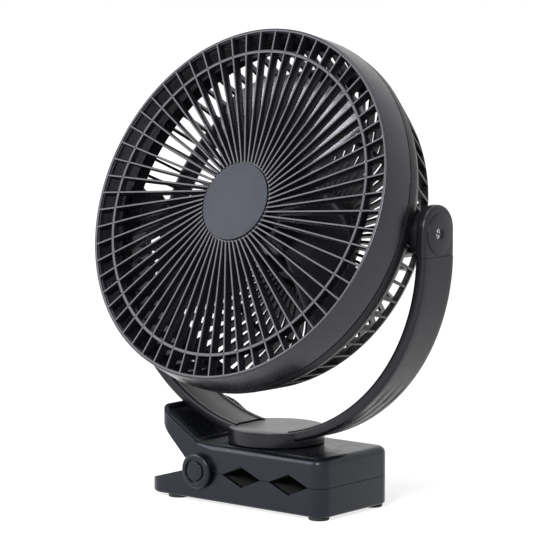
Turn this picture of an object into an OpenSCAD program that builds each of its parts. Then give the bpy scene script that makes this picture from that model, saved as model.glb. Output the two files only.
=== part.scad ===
// Portable camping fan: a caged eight inch head in a U-shaped yoke that swivels on a spring clamp.
// X is to the right, the fan faces -Y and Z is up. The origin lies on the swivel axis, at the table.
// All sizes are in millimetres and all angles in degrees.

/* [Cage] */
// Radius of the cage at its parting groove
rim_r = 107.5; // [100:0.5:120]
// How much narrower the cage is at its front edge
rim_taper = 2.5; // [0.5:0.5:6]
// Depth of the front face ahead of the tilt axis
front_depth = 40.1; // [38:0.1:50]
// Depth of the parting groove ahead of the tilt axis
split_depth = 20; // [18:0.5:24]
// Depth of the rear face behind the tilt axis
rear_depth = 39; // [36:0.5:50]
// Upward tilt of the head at rest
head_tilt = 21; // [0:1:60]
// Wall of the rim
rim_wall = 2.2; // [1.6:0.1:3]
// Width of the flat lip round the front edge
lip_w = 2; // [1.4:0.1:3]
// Width of the groove between the front and rear grilles
groove_w = 0.7; // [0.4:0.1:1.2]
// Depth of that groove
groove_d = 1.2; // [0.6:0.1:1.6]

/* [Front grille] */
// Number of ribs, and of rear bars
rib_count = 60; // [40:2:72]
// Width of a rib
rib_w = 1.5; // [1:0.1:2]
// Depth of a rib
rib_d = 6; // [4:0.5:8]
// How far each rib's line passes beside the centre
rib_offset = 6.5; // [0:0.5:12]
// Angle of the first rib's direction
rib_start = 3.87; // [0:0.01:6]
// Distance from the front edge in to the middle of the ring
ring_inset = 14; // [10:1:30]
// Width of the ring
ring_w = 2.5; // [1.5:0.1:4]
// Radius of the centre plate
centre_r = 24.3; // [23:0.1:30]
// Radius of the hub badge
badge_r = 23.2; // [18:0.1:26]
// Thickness of the hub badge
badge_t = 2.2; // [1.5:0.1:3]
// How far the badge stands out of the front face
badge_proud = 0.3; // [0:0.1:1]
// Direction of the first rim latch
latch_a = 14; // [0:1:90]
// Number of rim latches
latch_count = 3; // [2:1:4]
// Width of a rim latch
latch_w = 7; // [4:0.5:12]

/* [Rear grille] */
// Thickness of a bar
bar_t = 1.6; // [1.2:0.1:2]
// Depth of a bar along the side
bar_d = 4; // [3:0.5:5]
// Direction of the first bar
bar_start = 0.6; // [0:0.1:6]
// Depth of the rear edge of the rim ahead of the tilt axis
rim_edge_depth = 13.3; // [12:0.1:15]
// Depth of the end of the chamfer behind the rim edge
rim_chamfer_depth = 8; // [5:0.5:10]
// How far the shoulder lies inside the rim
shoulder_inset = 9.5; // [6:0.5:12]
// Depth of the shoulder behind the tilt axis
shoulder_depth = 12; // [11:0.5:14]
// Radius of the flat rear face
rear_flat_r = 64; // [50:1:75]
// Width of the thin ring round the rear face
mid_ring_w = 2.5; // [2:0.1:4]
// Depth of the bars and rings on the rear face
rear_t = 3; // [2.5:0.1:4]
// How far the bars stand out of the shoulder ring
shoulder_proud = 4.4; // [3.8:0.1:5]
// Wall of the shoulder ring
shoulder_wall = 2.7; // [2:0.1:3.5]
// Radius of the centre plate of the rear grille
rear_plate_r = 31; // [30:0.5:36]

/* [Trunnions and tilt screws] */
// Radius of a trunnion boss
trunnion_r = 12.2; // [10:0.1:12.5]
// Length of a trunnion boss
trunnion_l = 15; // [12:0.5:18]
// Radius of a tilt screw
tilt_screw_r = 2; // [1.5:0.1:2.5]
// Radius of a tilt screw's head
tilt_head_r = 4.2; // [3.5:0.1:5]
// Height of a tilt screw's head
tilt_head_h = 2.2; // [1.8:0.1:2.4]
// Outer radius of a threaded insert
insert_r = 3.5; // [3:0.1:4.5]
// Length of a threaded insert
insert_l = 10; // [6:0.5:11]
// Outer radius of a tilt bush
tilt_bush_r = 5; // [4:0.1:6]
// Length of a tilt bush
tilt_bush_l = 2.4; // [1.8:0.1:2.6]
// Thickness of a tilt washer
tilt_washer_t = 0.4; // [0.3:0.1:0.6]

/* [Impeller] */
// Number of blades
blade_count = 3; // [3:1:5]
// Gap between the blade tips and the bars
tip_gap = 7; // [3:0.5:12]
// Depth that the blades sweep
blade_depth = 32; // [24:1:34]
// Pitch of the blades
blade_pitch = 18.5; // [12:0.5:20]
// Thickness of a blade
blade_t = 2; // [1.5:0.1:3]
// Angle from a blade's middle line to its straight edge
blade_lead = 29.5; // [24:0.5:34]
// Radius of the corner between the straight edge and the tip
blade_corner_r = 12; // [6:1:16]
// Radius of the round side of a blade
blade_lobe_r = 42.5; // [34:0.5:44]
// Angle from the middle line to the centre of the round side
blade_sweep = 6; // [0:1:12]
// Direction of the first blade's middle line
blade_start = 84; // [0:1:119]
// Gap between the ribs and the blades
guard_gap = 10; // [6:0.5:12]
// Radius of the impeller's hub
hub_r = 21; // [18:0.5:23]
// Wall of the impeller's hub
hub_wall = 2; // [1.5:0.1:3]
// Radius of the boss round the shaft
shaft_boss_r = 5; // [4:0.1:6]

/* [Motor] */
// Radius of the motor housing
house_r = 28; // [27:0.5:29]
// Wall of the motor housing
house_wall = 1.8; // [1.4:0.1:1.9]
// Gap between the motor housing and the blades
house_gap = 2; // [1.5:0.1:3]
// Radius of the motor can
motor_r = 16; // [14:0.5:18]
// Length of the motor can
motor_l = 20; // [17:0.5:22]
// Wall of the motor can
can_wall = 1.4; // [1:0.1:2]
// Radius of the motor shaft
shaft_r = 1.5; // [1:0.1:2.5]
// Outer radius of a bearing
bearing_r = 4; // [3:0.1:5]
// Length of a bearing
bearing_l = 3; // [2:0.1:3.6]
// Wall of a bearing seat
seat_wall = 1.5; // [1:0.1:2]
// Thickness of the magnets
magnet_t = 3.3; // [2:0.1:4]
// Gap between the rotor and the magnets
air_gap = 0.6; // [0.4:0.1:1]
// Radius from the axis to the motor screws
motor_screw_at = 9.5; // [9:0.1:10]
// Radius of a motor screw
motor_screw_r = 1; // [0.8:0.1:1.2]

/* [Rear cover] */
// Radius of the rear cover
cover_r = 29.5; // [29:0.5:32]
// Depth of the rear cover
cover_d = 6; // [5.8:0.1:8]
// Wall of the rear cover
cover_wall = 2; // [1.6:0.1:2.2]
// Radius from the axis to the cover screws
cover_screw_at = 24.9; // [24.6:0.1:25]
// Radius of a cover screw
cover_screw_r = 1.1; // [0.8:0.1:1.3]
// Radius of a screw post
post_r = 2.9; // [2.6:0.1:3]
// Number of cover screws
cover_screws = 3; // [3:1:4]
// Thickness of the control board
board_t = 1.2; // [1:0.1:1.6]
// Radius of the control board
board_r = 21; // [20:0.1:21.2]
// Radius of the power button
button_r = 6.5; // [5:0.1:8]
// How far the power button stands out
button_proud = 1; // [0.6:0.1:2]
// Travel of the power button
button_travel = 0.6; // [0.4:0.1:0.7]
// Width of the charging port
port_w = 9; // [8:0.1:10]
// Height of the charging port
port_h = 3.2; // [2.8:0.1:3.4]
// Length of the charging port
port_l = 7.4; // [6:0.1:8]
// Radius from the axis to the indicator lenses
lens_at = 14; // [12:0.5:18]
// Radius of an indicator lens
lens_r = 1; // [0.8:0.1:1.4]

/* [Yoke] */
// Gap between the cage and the yoke
yoke_gap = 3.5; // [2.5:0.1:8]
// Thickness of the yoke
yoke_t = 6.5; // [6.1:0.1:9]
// Half the width of the yoke
yoke_half = 14.2; // [13:0.1:18]
// Rounding of the yoke's long edges
yoke_edge = 2; // [1:0.1:2.5]
// Height of the tilt axis above the middle of the yoke's curve
arm_rise = 11; // [8:1:30]
// Gap between the yoke's lowest point and the clamp
yoke_lift = 1.6; // [1:0.1:4]
// Radius of the yoke's hub
swivel_r = 28.4; // [26:0.1:31]
// Height of the hub's top above the clamp
swivel_h = 9.2; // [8.8:0.1:12]
// Thickness of the hub cover
hub_cover_t = 1.8; // [1.5:0.1:2.5]
// Half the width of a liner strip
liner_half = 10.8; // [8:0.1:12]
// Thickness of a liner strip
liner_t = 1.6; // [1.2:0.1:1.7]
// How far a liner lies below the yoke's lips
liner_drop = 0.4; // [0.2:0.1:0.6]
// How far the seam of an arm cap lies below the tilt axis
cap_drop = 13; // [12:0.5:16]
// Thickness of an arm cap
cap_t = 2.7; // [2.4:0.1:3]
// How far an arm cap stands out of the arm
cap_proud = 0.5; // [0:0.1:1]
// Radius of the ring groove in an arm cap
cap_groove_r = 11.4; // [10:0.1:12.4]
// Radius of the hole in an arm cap
cap_hole_r = 3; // [2:0.1:3.4]
// Radius of the lead in the yoke's arm
lead_r = 1; // [0.8:0.1:1.2]

/* [Swivel] */
// Radius of the swivel bolt
bolt_r = 3; // [2.5:0.1:4]
// Radius of the swivel bolt's head
bolt_head_r = 5; // [4.5:0.1:6]
// Height of the swivel bolt's head
bolt_head_h = 3.2; // [2.5:0.1:3.4]
// Radius of the lead's hole through the bolt
bolt_hole_r = 1.4; // [1.2:0.1:1.6]
// Outer radius of the swivel bush
bush_r = 5; // [4.5:0.1:6]
// Thickness of the swivel bush's flange
bush_flange_t = 1; // [0.8:0.1:1.2]
// Thickness of the swivel washer
washer_t = 0.5; // [0.4:0.1:0.6]
// Height of the swivel nut
nut_h = 3; // [2.6:0.1:3.1]
// Outer radius of the friction disc
friction_r = 20; // [14:0.5:24]
// Thickness of the friction disc
friction_t = 0.8; // [0.6:0.1:1]

/* [Clamp] */
// Distance from the swivel axis to the mouth
mouth_x = 60; // [58:0.5:75]
// Half the width of the clamp
clamp_half = 32.2; // [30.5:0.1:36]
// Height of the lower jaw without its feet
lower_h = 16.9; // [16.5:0.1:22]
// Height of the upper jaw above the split
upper_h = 17.1; // [17:0.1:22]
// Wall of both jaws
jaw_wall = 2.4; // [2:0.1:2.8]
// Gap between the closed jaws
jaw_gap = 0.3; // [0.2:0.1:0.6]
// Rounding of the mouth's upright corners
mouth_round = 8; // [4:0.5:12]
// Rounding of the levers' upright corners
lever_round = 10; // [4:0.5:14]
// Half the width of a grip notch
notch_half = 14.3; // [12:0.1:15]
// Depth of a grip notch in each jaw
notch_d = 6; // [4:0.1:6.2]
// Place of the notch under the swivel
notch_inner_x = -0.2; // [-2:0.1:2]
// Place of the notch near the mouth
notch_outer_x = 35.1; // [33:0.1:37]
// Thickness of a grip pad
pad_t = 1.3; // [1:0.1:1.4]
// Thickness of a grip plate
grip_t = 1.9; // [1.6:0.1:2]
// Distance from the swivel axis back to the upper lever's tip
upper_lever_x = 65.5; // [60:0.5:80]
// Height of the upper lever's tip above the clamp
upper_lever_rise = 19.2; // [15:0.1:19.4]
// Thickness of the upper lever's tip
upper_lever_t = 8.7; // [7.5:0.1:9.5]
// Distance from the swivel axis back to the root of the upper lever
lever_root_x = 34; // [32:0.5:36]
// Depth of the trough in the upper lever
trough_d = 2; // [1:0.1:2.4]
// Distance from the swivel axis back to the lower lever's tip
lower_lever_x = 73.6; // [68:0.1:85]
// Thickness of the lower lever's tip
lower_lever_t = 7.8; // [7:0.1:9]

/* [Clamp hinge] */
// Distance from the swivel axis back to the hinge
hinge_x = 32.1; // [31.5:0.1:33]
// Height of the hinge above the split
hinge_rise = 0.6; // [0:0.1:1.5]
// Radius of the hinge pin
pin_r = 2.5; // [2:0.1:3]
// Running clearance of every shaft in its hole
run_gap = 0.05; // [0.02:0.01:0.1]
// Gap between neighbours that move past each other
side_gap = 0.3; // [0.2:0.05:0.4]
// Radius of the upper jaw's hinge lugs
lug_r = 10.2; // [8.5:0.1:10.4]
// Radius of the lower jaw's hinge ears
ear_r = 9.5; // [8:0.1:9.8]
// Radius of a hinge cap
hinge_cap_r = 10.6; // [9:0.1:11]
// Length of a hinge cap
hinge_cap_l = 4.5; // [4:0.1:6]
// Coil radius of the clamp spring
coil_r = 6.3; // [5.5:0.1:6.5]
// Wire radius of the clamp spring
wire_r = 0.9; // [0.7:0.1:1]
// Turns of each half of the clamp spring
coil_turns = 4; // [3:1:6]
// Advance of the clamp spring for each turn
coil_advance = 2.6; // [2.4:0.1:3]

/* [Feet, battery and screws] */
// Height of a foot
foot_h = 2; // [1.5:0.1:4]
// Radius of a foot
foot_r = 6; // [4:0.1:8]
// Place of the feet near the mouth
foot_mouth_x = 52; // [46:0.5:54]
// Place of the feet under the levers
foot_lever_x = 55; // [45:0.5:58]
// Sideways place of the feet
foot_y = 25; // [20:0.5:26]
// Length of the battery pack
battery_l = 76; // [60:1:76]
// Width of the battery pack
battery_w = 46; // [30:1:46]
// Thickness of the battery pack
battery_t = 4.4; // [3:0.1:4.4]
// Thickness of the foam under the battery
foam_t = 0.5; // [0.3:0.1:0.6]
// Distance of the grip plate screws from the jaw's inner side
grip_screw_edge = 3.3; // [3:0.1:3.8]
// Radius of a grip plate screw
grip_screw_r = 1.2; // [1:0.1:1.4]
// Radius of a grip plate screw's head
grip_head_r = 2.3; // [2:0.1:2.6]

/* [Hidden] */
$fn = 96;
tiny = 0.01;

// Colours
shell_grey = [0.20, 0.20, 0.23];
dark_grey = [0.13, 0.13, 0.15];
badge_grey = [0.40, 0.38, 0.42];
cover_grey = [0.62, 0.62, 0.66];
blade_grey = [0.62, 0.66, 0.74];
rubber_black = [0.09, 0.09, 0.10];
steel = [0.72, 0.73, 0.75];
brass = [0.80, 0.66, 0.32];
board_green = [0.10, 0.35, 0.20];
foil = [0.70, 0.72, 0.74];
copper = [0.72, 0.42, 0.25];

// Heights of the clamp
split_z = foot_h + lower_h;
clamp_top = split_z + upper_h;
upper_edge_z = split_z + jaw_gap / 2;
lower_edge_z = split_z - jaw_gap / 2;
hinge_z = split_z + hinge_rise;
inner_half = clamp_half - jaw_wall;
mouth_in_x = mouth_x - jaw_wall;
grip_start_x = -hinge_x + ear_r + 1.8;
grip_fit = 0.1;
grip_end_x = mouth_in_x - grip_fit;
grip_screw_xs = [(notch_inner_x + notch_outer_x) / 2, (notch_outer_x + notch_half + grip_end_x) / 2];
grip_head_h = 1.2;
grip_screw_l = 8;
grip_screw_y = inner_half - grip_screw_edge;
floor_z = foot_h + jaw_wall;
bay_clear_r = lug_r + 0.7;

// Levers of the clamp
lever_slope = upper_lever_rise / (upper_lever_x - lever_root_x);
lever_wall_h = jaw_wall * sqrt(1 + lever_slope * lever_slope);
lever_under_start = 2.5;
lever_tip_lean = 0.9;
lever_under_in = [-hinge_x - lever_under_start, hinge_z - lever_under_start];
lever_under_out = [-upper_lever_x + lever_tip_lean, clamp_top + upper_lever_rise - upper_lever_t];
under_slope = (lever_under_out[1] - lever_under_in[1]) / (lever_under_in[0] - lever_under_out[0]);
under_wall_h = jaw_wall * sqrt(1 + under_slope * under_slope);
lower_lever_z = foot_h + lower_lever_t;
ramp_top_x = -hinge_x - lug_r;
ramp_slope = (lower_edge_z - lower_lever_z) / (lower_lever_x + ramp_top_x);
ramp_wall_h = jaw_wall * sqrt(1 + ramp_slope * ramp_slope);

// Yoke and swivel
yoke_ri = rim_r + yoke_gap;
yoke_ro = yoke_ri + yoke_t;
yoke_cz = clamp_top + yoke_lift + yoke_ro;
pivot_z = yoke_cz + arm_rise;
hub_bottom = clamp_top + side_gap;
hub_top = clamp_top + swivel_h;
cover_seat_z = hub_top - hub_cover_t;
cover_reach = sqrt(yoke_ri * yoke_ri - (yoke_cz - hub_top - 0.7) * (yoke_cz - hub_top - 0.7));
bolt_head_z = cover_seat_z - bolt_head_h - 0.2;
bush_flange_r = bush_r + 2.5;
bush_bottom = clamp_top - jaw_wall - bush_flange_t;
washer_top = bush_bottom - side_gap;
nut_top = washer_top - washer_t;
nut_bottom = nut_top - nut_h;
nut_r = bolt_head_r + 0.5;
cap_seat_x = yoke_ro + cap_proud - cap_t;
cap_skin = 1.3;
liner_ri = yoke_ri + liner_drop;
cover_cut = 20;
liner_gap = 0.8;
liner_from = asin((cover_reach + liner_gap) / yoke_ri);
liner_to = 86;
lead_channel = 2 * lead_r + 0.4;
cut_through = 10;
lead_at_r = liner_ri + liner_t + lead_channel / 2;

// Head, along its own axis: w is the depth ahead of the tilt axis
face_r = rim_r - rim_taper;
rim_in_r = rim_r - rim_wall;
spigot_r = rim_in_r - 0.2;
spigot_t = 1.6;
spigot_l = 4;
latch_tongue = 2.5;
rib_back = front_depth - rib_d;
ring_r = face_r - ring_inset;
rib_end_r = face_r - lip_w + 0.5;
shoulder_r = rim_r - shoulder_inset;
shoulder_turn_r = shoulder_r - 3.2;
shoulder_turn_w = -shoulder_depth - 5;
shoulder_ring_end = -shoulder_depth - 8;
rim_step = 0.5;
rim_edge_r = rim_r - rim_step;
cage_turn_wall = [2.6, 2.4];
cage_flat_in = 1.6;
cage_shoulder_up = 1.4;
plate_in = -rear_depth + rear_t;
blade_front = rib_back - guard_gap;
blade_back = blade_front - blade_depth;
blade_mid = (blade_front + blade_back) / 2;
blade_r = shoulder_r - bar_d - tip_gap;
lobe_inset = 0.5;
hub_front = blade_front - 2;
house_front = blade_back - house_gap;
can_front = house_front - house_wall;
can_back = can_front - motor_l;
trunnion_end = yoke_ri - side_gap;
trunnion_start = trunnion_end - trunnion_l;
bush_end_x = yoke_ri + tilt_bush_l;
tilt_head_x = bush_end_x + side_gap + tilt_washer_t;
tilt_washer_over = 0.3;
slot_l = 4.4;
slot_w = 0.8;
slot_d = 1;
magnet_r = motor_r - can_wall;
rotor_r = magnet_r - magnet_t - air_gap;
rotor_front = can_front - bearing_l - 0.8;
rotor_back = can_back + bearing_l + 0.8;
screw_angles = [for (i = [0 : cover_screws - 1]) 90 + i * 360 / cover_screws];
ledge_t = rear_t - board_t - 0.4;
board_back = -rear_depth + 0.4;
cover_back = -rear_depth - cover_d;
cover_in = cover_back + cover_wall;
switch_h = 1.6;
plunger_h = 0.4;
button_flange_r = button_r + 1.3;
button_flange_t = 0.8;
button_in = cover_in + side_gap;
screw_head_h = 1.4;
screw_head_r = cover_screw_r + 0.9;
head_fit = 0.1;

// ---------- shared helpers ----------

// Places head pieces: x to the right, y up the cage and z along the fan's axis, towards its front
module head_place() {
    translate([0, 0, pivot_z]) rotate([90 - head_tilt, 0, 0]) children();
}

// Draws a round bar along X from x0 to x1
module x_rod(r, x0, x1) {
    translate([x0, 0, 0]) rotate([0, 90, 0]) cylinder(r = r, h = x1 - x0);
}

// Draws a round bar along Y from y0 to y1, through (x, z)
module y_rod(r, y0, y1, x, z) {
    translate([x, y1, z]) rotate([90, 0, 0]) cylinder(r = r, h = y1 - y0);
}

// Draws a tube along the local Z axis
module tube(ro, ri, z0, z1) {
    translate([0, 0, z0]) difference() {
        cylinder(r = ro, h = z1 - z0);
        translate([0, 0, -tiny]) cylinder(r = ri, h = z1 - z0 + 2 * tiny);
    }
}

// Repeats its children on the right and, mirrored, on the left
module both_sides() {
    children();
    mirror([1, 0, 0]) children();
}

// Extrudes an x-z outline along Y between -half and +half
module side_extrude(half) {
    translate([0, half, 0]) rotate([90, 0, 0]) linear_extrude(2 * half) children();
}

// Plan of the clamp with round corners, drawn inwards by inset
module clamp_plan(back_x, inset) {
    half = clamp_half - inset;
    front = mouth_x - inset;
    rear = -back_x + inset;
    rf = mouth_round - inset;
    rr = lever_round - inset;
    translate([rear + rr, -half]) square([front - rf - rear - rr, 2 * half]);
    translate([front - rf - tiny, -half + rf]) square([rf + tiny, 2 * half - 2 * rf]);
    translate([rear, -half + rr]) square([rr + tiny, 2 * half - 2 * rr]);
    for (s = [-1, 1]) {
        translate([front - rf, s * (half - rf)]) circle(rf);
        translate([rear + rr, s * (half - rr)]) circle(rr);
    }
}

// Path of a jaw's grip face, from the hinge side to the mouth; side is 1 for the upper jaw, -1 for the lower
function grip_path(z, side) = [
    [grip_start_x, z],
    [notch_inner_x - notch_half, z],
    [notch_inner_x, z + side * notch_d],
    [notch_inner_x + notch_half, z],
    [notch_outer_x - notch_half, z],
    [notch_outer_x, z + side * notch_d],
    [notch_outer_x + notch_half, z],
    [grip_end_x, z]
];
function reversed(list) = [for (i = [len(list) - 1 : -1 : 0]) list[i]];

// Layer of even height that follows the grip face
module grip_layer(z, side, from, thick) {
    polygon(concat(grip_path(z + side * from, side), reversed(grip_path(z + side * (from + thick), side))));
}

// Layer of a grip face, cut to the inside of the jaws
module grip_body(z, side, from, thick) intersection() {
    side_extrude(inner_half) grip_layer(z, side, from, thick);
    linear_extrude(clamp_top) clamp_plan(lower_lever_x, jaw_wall + grip_fit);
}

// Outline of one wall notch
module notch_outline(x, z, side) {
    polygon([[x - notch_half, z], [x, z + side * notch_d], [x + notch_half, z],
        [x + notch_half, z - side * 4], [x - notch_half, z - side * 4]]);
}

// ---------- clamp: lower jaw ----------

module lower_outline() {
    difference() {
        polygon([[mouth_x, lower_edge_z], [mouth_x, foot_h], [-lower_lever_x, foot_h],
            [-lower_lever_x, lower_lever_z], [ramp_top_x, lower_edge_z]]);
        notch_outline(notch_inner_x, lower_edge_z, -1);
        notch_outline(notch_outer_x, lower_edge_z, -1);
        translate([-hinge_x, hinge_z]) circle(bay_clear_r);
    }
}

module lower_cavity_outline() {
    polygon([[mouth_x, clamp_top], [mouth_x, floor_z], [-lower_lever_x, floor_z],
        [-lower_lever_x, lower_lever_z - ramp_wall_h], [ramp_top_x, lower_edge_z - ramp_wall_h],
        [ramp_top_x, clamp_top]]);
}

module lower_jaw() color(shell_grey) difference() {
    union() {
        difference() {
            intersection() {
                side_extrude(clamp_half) lower_outline();
                translate([0, 0, foot_h]) linear_extrude(lower_h) clamp_plan(lower_lever_x, 0);
            }
            intersection() {
                side_extrude(clamp_half) lower_cavity_outline();
                translate([0, 0, foot_h]) linear_extrude(upper_h + lower_h) clamp_plan(lower_lever_x, jaw_wall);
            }
        }
        for (s = [-1, 1]) scale([1, s, 1]) lower_ear();
        for (x = grip_screw_xs, s = [-1, 1]) translate([x, s * grip_screw_y, floor_z - tiny])
            cylinder(r = post_r, h = lower_edge_z - pad_t - grip_t - floor_z + tiny);
    }
    y_rod(pin_r, -clamp_half, clamp_half, -hinge_x, hinge_z);
    for (x = grip_screw_xs, s = [-1, 1]) translate([x, s * grip_screw_y, floor_z])
        cylinder(r = grip_screw_r, h = lower_h);
}

// Ear that carries one end of the hinge pin, with its web down to the floor
module lower_ear() {
    y0 = inner_half - side_gap - jaw_wall;
    y1 = inner_half - side_gap;
    y_rod(ear_r, y0, y1, -hinge_x, hinge_z);
    translate([-hinge_x - ear_r + 1.5, y0, floor_z - tiny])
        cube([2 * ear_r - 3, jaw_wall, hinge_z - floor_z]);
}

module lower_grip_plate() color(dark_grey) difference() {
    grip_body(lower_edge_z, -1, pad_t, grip_t);
    for (x = grip_screw_xs, s = [-1, 1]) translate([x, s * grip_screw_y, 0]) {
        cylinder(r = grip_screw_r, h = clamp_top);
        translate([0, 0, lower_edge_z - pad_t - grip_head_h]) cylinder(r = grip_head_r, h = lower_h);
    }
}

module lower_jaw_pad() color(rubber_black) grip_body(lower_edge_z, -1, 0, pad_t);

module lower_plate_screws() color(steel) for (x = grip_screw_xs, s = [-1, 1])
    translate([x, s * grip_screw_y, lower_edge_z - pad_t]) mirror([0, 0, 1]) grip_screw();

// Pan screw of a grip plate, with the top of its head at the origin and its shank along +Z
module grip_screw() {
    difference() {
        union() {
            cylinder(r = grip_head_r, h = grip_head_h);
            cylinder(r = grip_screw_r, h = grip_screw_l);
        }
        for (a = [0, 90]) rotate(a) translate([-1.2, -0.3, -tiny]) cube([2.4, 0.6, 0.7]);
    }
}

module rubber_feet() color(rubber_black) for (x = [foot_mouth_x, -foot_lever_x], s = [-1, 1])
    translate([x, s * foot_y, 0]) rotate_extrude() polygon([[0, 0], [foot_r - 0.5, 0], [foot_r, 0.5],
        [foot_r, foot_h], [0, foot_h]]);

module hinge_pin() color(steel) {
    reach = clamp_half + side_gap + 3;
    y_rod(pin_r, -reach, reach, -hinge_x, hinge_z);
}

// Cap on the rear end of the hinge pin
module hinge_cap() {
    y0 = clamp_half + side_gap;
    y1 = y0 + hinge_cap_l;
    translate([-hinge_x, y1, hinge_z]) rotate([90, 0, 0]) difference() {
        rotate_extrude() polygon([[0, -0.2], [hinge_cap_r * 0.55, -0.2], [hinge_cap_r * 0.55, 0.8],
            [hinge_cap_r * 0.68, 0.8], [hinge_cap_r * 0.68, 0], [hinge_cap_r - 1, 0], [hinge_cap_r, 1],
            [hinge_cap_r, hinge_cap_l], [0, hinge_cap_l]]);
        translate([0, 0, hinge_cap_l - 3]) cylinder(r = pin_r, h = 3 + tiny);
    }
}

module hinge_cap_rear() color(dark_grey) hinge_cap();

module hinge_cap_front() color(dark_grey) mirror([0, 1, 0]) hinge_cap();

// ---------- clamp spring ----------

// The spring is one wire, shown as two halves that meet in the middle with a small gap.
// Each half has a straight leg that leaves its coil at a tangent.
coil_steps = 18;
coil_sides = 8;
coil_gap = 0.4;
lower_leg_end = [-58, floor_z + wire_r + 0.1];
upper_leg_x = -55;
upper_leg_end = [upper_leg_x,
    clamp_top + lever_slope * (-lever_root_x - upper_leg_x) - trough_d - lever_wall_h - wire_r * 1.2 - 0.1];

// Angle round the coil at which a leg to the point p leaves it; turn is 1 where the leg is above, -1 below
function leg_angle(p, turn) =
    let (dx = p[0] + hinge_x, dz = p[1] - hinge_z, far = sqrt(dx * dx + dz * dz))
    atan2(dz, dx) - turn * acos(coil_r / far);

// One ring of the wire round a point at the angle a of the coil
function wire_ring(centre, a) = [for (k = [0 : coil_sides - 1])
    let (b = 360 * k / coil_sides)
    centre + wire_r * [cos(b) * cos(a), sin(b), cos(b) * sin(a)]];

// Points of one half: the leg's end, then the coil from the leg to the middle of the spring
function half_rings(p, turn) =
    let (a0 = leg_angle(p, turn), n = coil_turns * coil_steps, y0 = coil_turns * coil_advance + coil_gap / 2)
    concat(wire_ring([p[0], turn * y0, p[1]], a0),
        [for (i = [0 : n]) each wire_ring([
            -hinge_x + coil_r * cos(a0 - turn * 360 * i / coil_steps),
            turn * (y0 - coil_advance * i / coil_steps),
            hinge_z + coil_r * sin(a0 - turn * 360 * i / coil_steps)], a0 - turn * 360 * i / coil_steps)]);

module spring_half(p, turn) {
    rings = coil_turns * coil_steps + 2;
    pts = half_rings(p, turn);
    sides = [for (i = [0 : rings - 2], k = [0 : coil_sides - 1])
        let (k2 = (k + 1) % coil_sides, a = i * coil_sides + k, b = i * coil_sides + k2)
        turn > 0 ? [a, b, b + coil_sides, a + coil_sides] : [b, a, a + coil_sides, b + coil_sides]];
    first = [for (k = [0 : coil_sides - 1]) k];
    last = [for (k = [0 : coil_sides - 1]) (rings - 1) * coil_sides + k];
    caps = turn > 0 ? [reversed(first), last] : [first, reversed(last)];
    polyhedron(points = pts, faces = concat(sides, caps), convexity = 8);
}

module spring_lower_half() color(steel) spring_half(lower_leg_end, -1);

module spring_upper_half() color(steel) spring_half(upper_leg_end, 1);

// ---------- battery ----------

battery_end_x = mouth_in_x - 1.6;
cell_board_l = 10;
cell_board_w = 20;
cell_board_t = 1;
cell_board_x = -hinge_x - cell_board_l;

module battery_pack() color(foil)
    translate([battery_end_x - battery_l, -battery_w / 2, floor_z + foam_t])
        cube([battery_l, battery_w, battery_t]);

module battery_foam() color(dark_grey) {
    translate([battery_end_x - battery_l + 4, -battery_w / 2 + 4, floor_z])
        cube([battery_l - 8, battery_w - 8, foam_t]);
    translate([cell_board_x + 1, 1 - cell_board_w / 2, floor_z])
        cube([cell_board_l - 2, cell_board_w - 2, foam_t]);
}

module protection_board() color(board_green)
    translate([cell_board_x, -cell_board_w / 2, floor_z + foam_t]) {
        cube([cell_board_l, cell_board_w, cell_board_t]);
        for (y = [3, 12]) translate([2, y, cell_board_t - tiny]) cube([4, 5, cell_board_t]);
    }

// ---------- clamp: upper jaw ----------

module upper_outline() {
    difference() {
        union() {
            polygon([[mouth_x, upper_edge_z], [mouth_x, clamp_top], [-lever_root_x, clamp_top],
                [-upper_lever_x, clamp_top + upper_lever_rise], lever_under_out, lever_under_in,
                [-hinge_x, upper_edge_z]]);
            translate([-hinge_x, hinge_z]) circle(lug_r);
        }
        notch_outline(notch_inner_x, upper_edge_z, 1);
        notch_outline(notch_outer_x, upper_edge_z, 1);
    }
}

// Height of the upper lever's top line at x
function lever_top(x) = clamp_top + lever_slope * (-lever_root_x - x);

module upper_cavity_outline() {
    root_z = clamp_top - jaw_wall;
    tip_z = lever_top(-upper_lever_x) - trough_d - lever_wall_h;
    knee_x = -lever_root_x - (jaw_wall - trough_d - lever_wall_h) / -lever_slope;
    polygon([[mouth_x, 0], [mouth_x, root_z], [knee_x, root_z], [-upper_lever_x, tip_z],
        [lever_under_out[0] - 2, lever_under_out[1] + under_wall_h + 2 * under_slope],
        [lever_under_in[0], lever_under_in[1] + under_wall_h], [lever_under_in[0], 0]]);
}

module trough_outline() {
    polygon([[-lever_root_x - 3, lever_top(-lever_root_x - 3) + 1],
        [-lever_root_x - 3 - trough_d, lever_top(-lever_root_x - 3 - trough_d) - trough_d],
        [-upper_lever_x + 2, lever_top(-upper_lever_x + 2) - trough_d],
        [-upper_lever_x + 2, lever_top(-upper_lever_x + 2) + 2]]);
}

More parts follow.
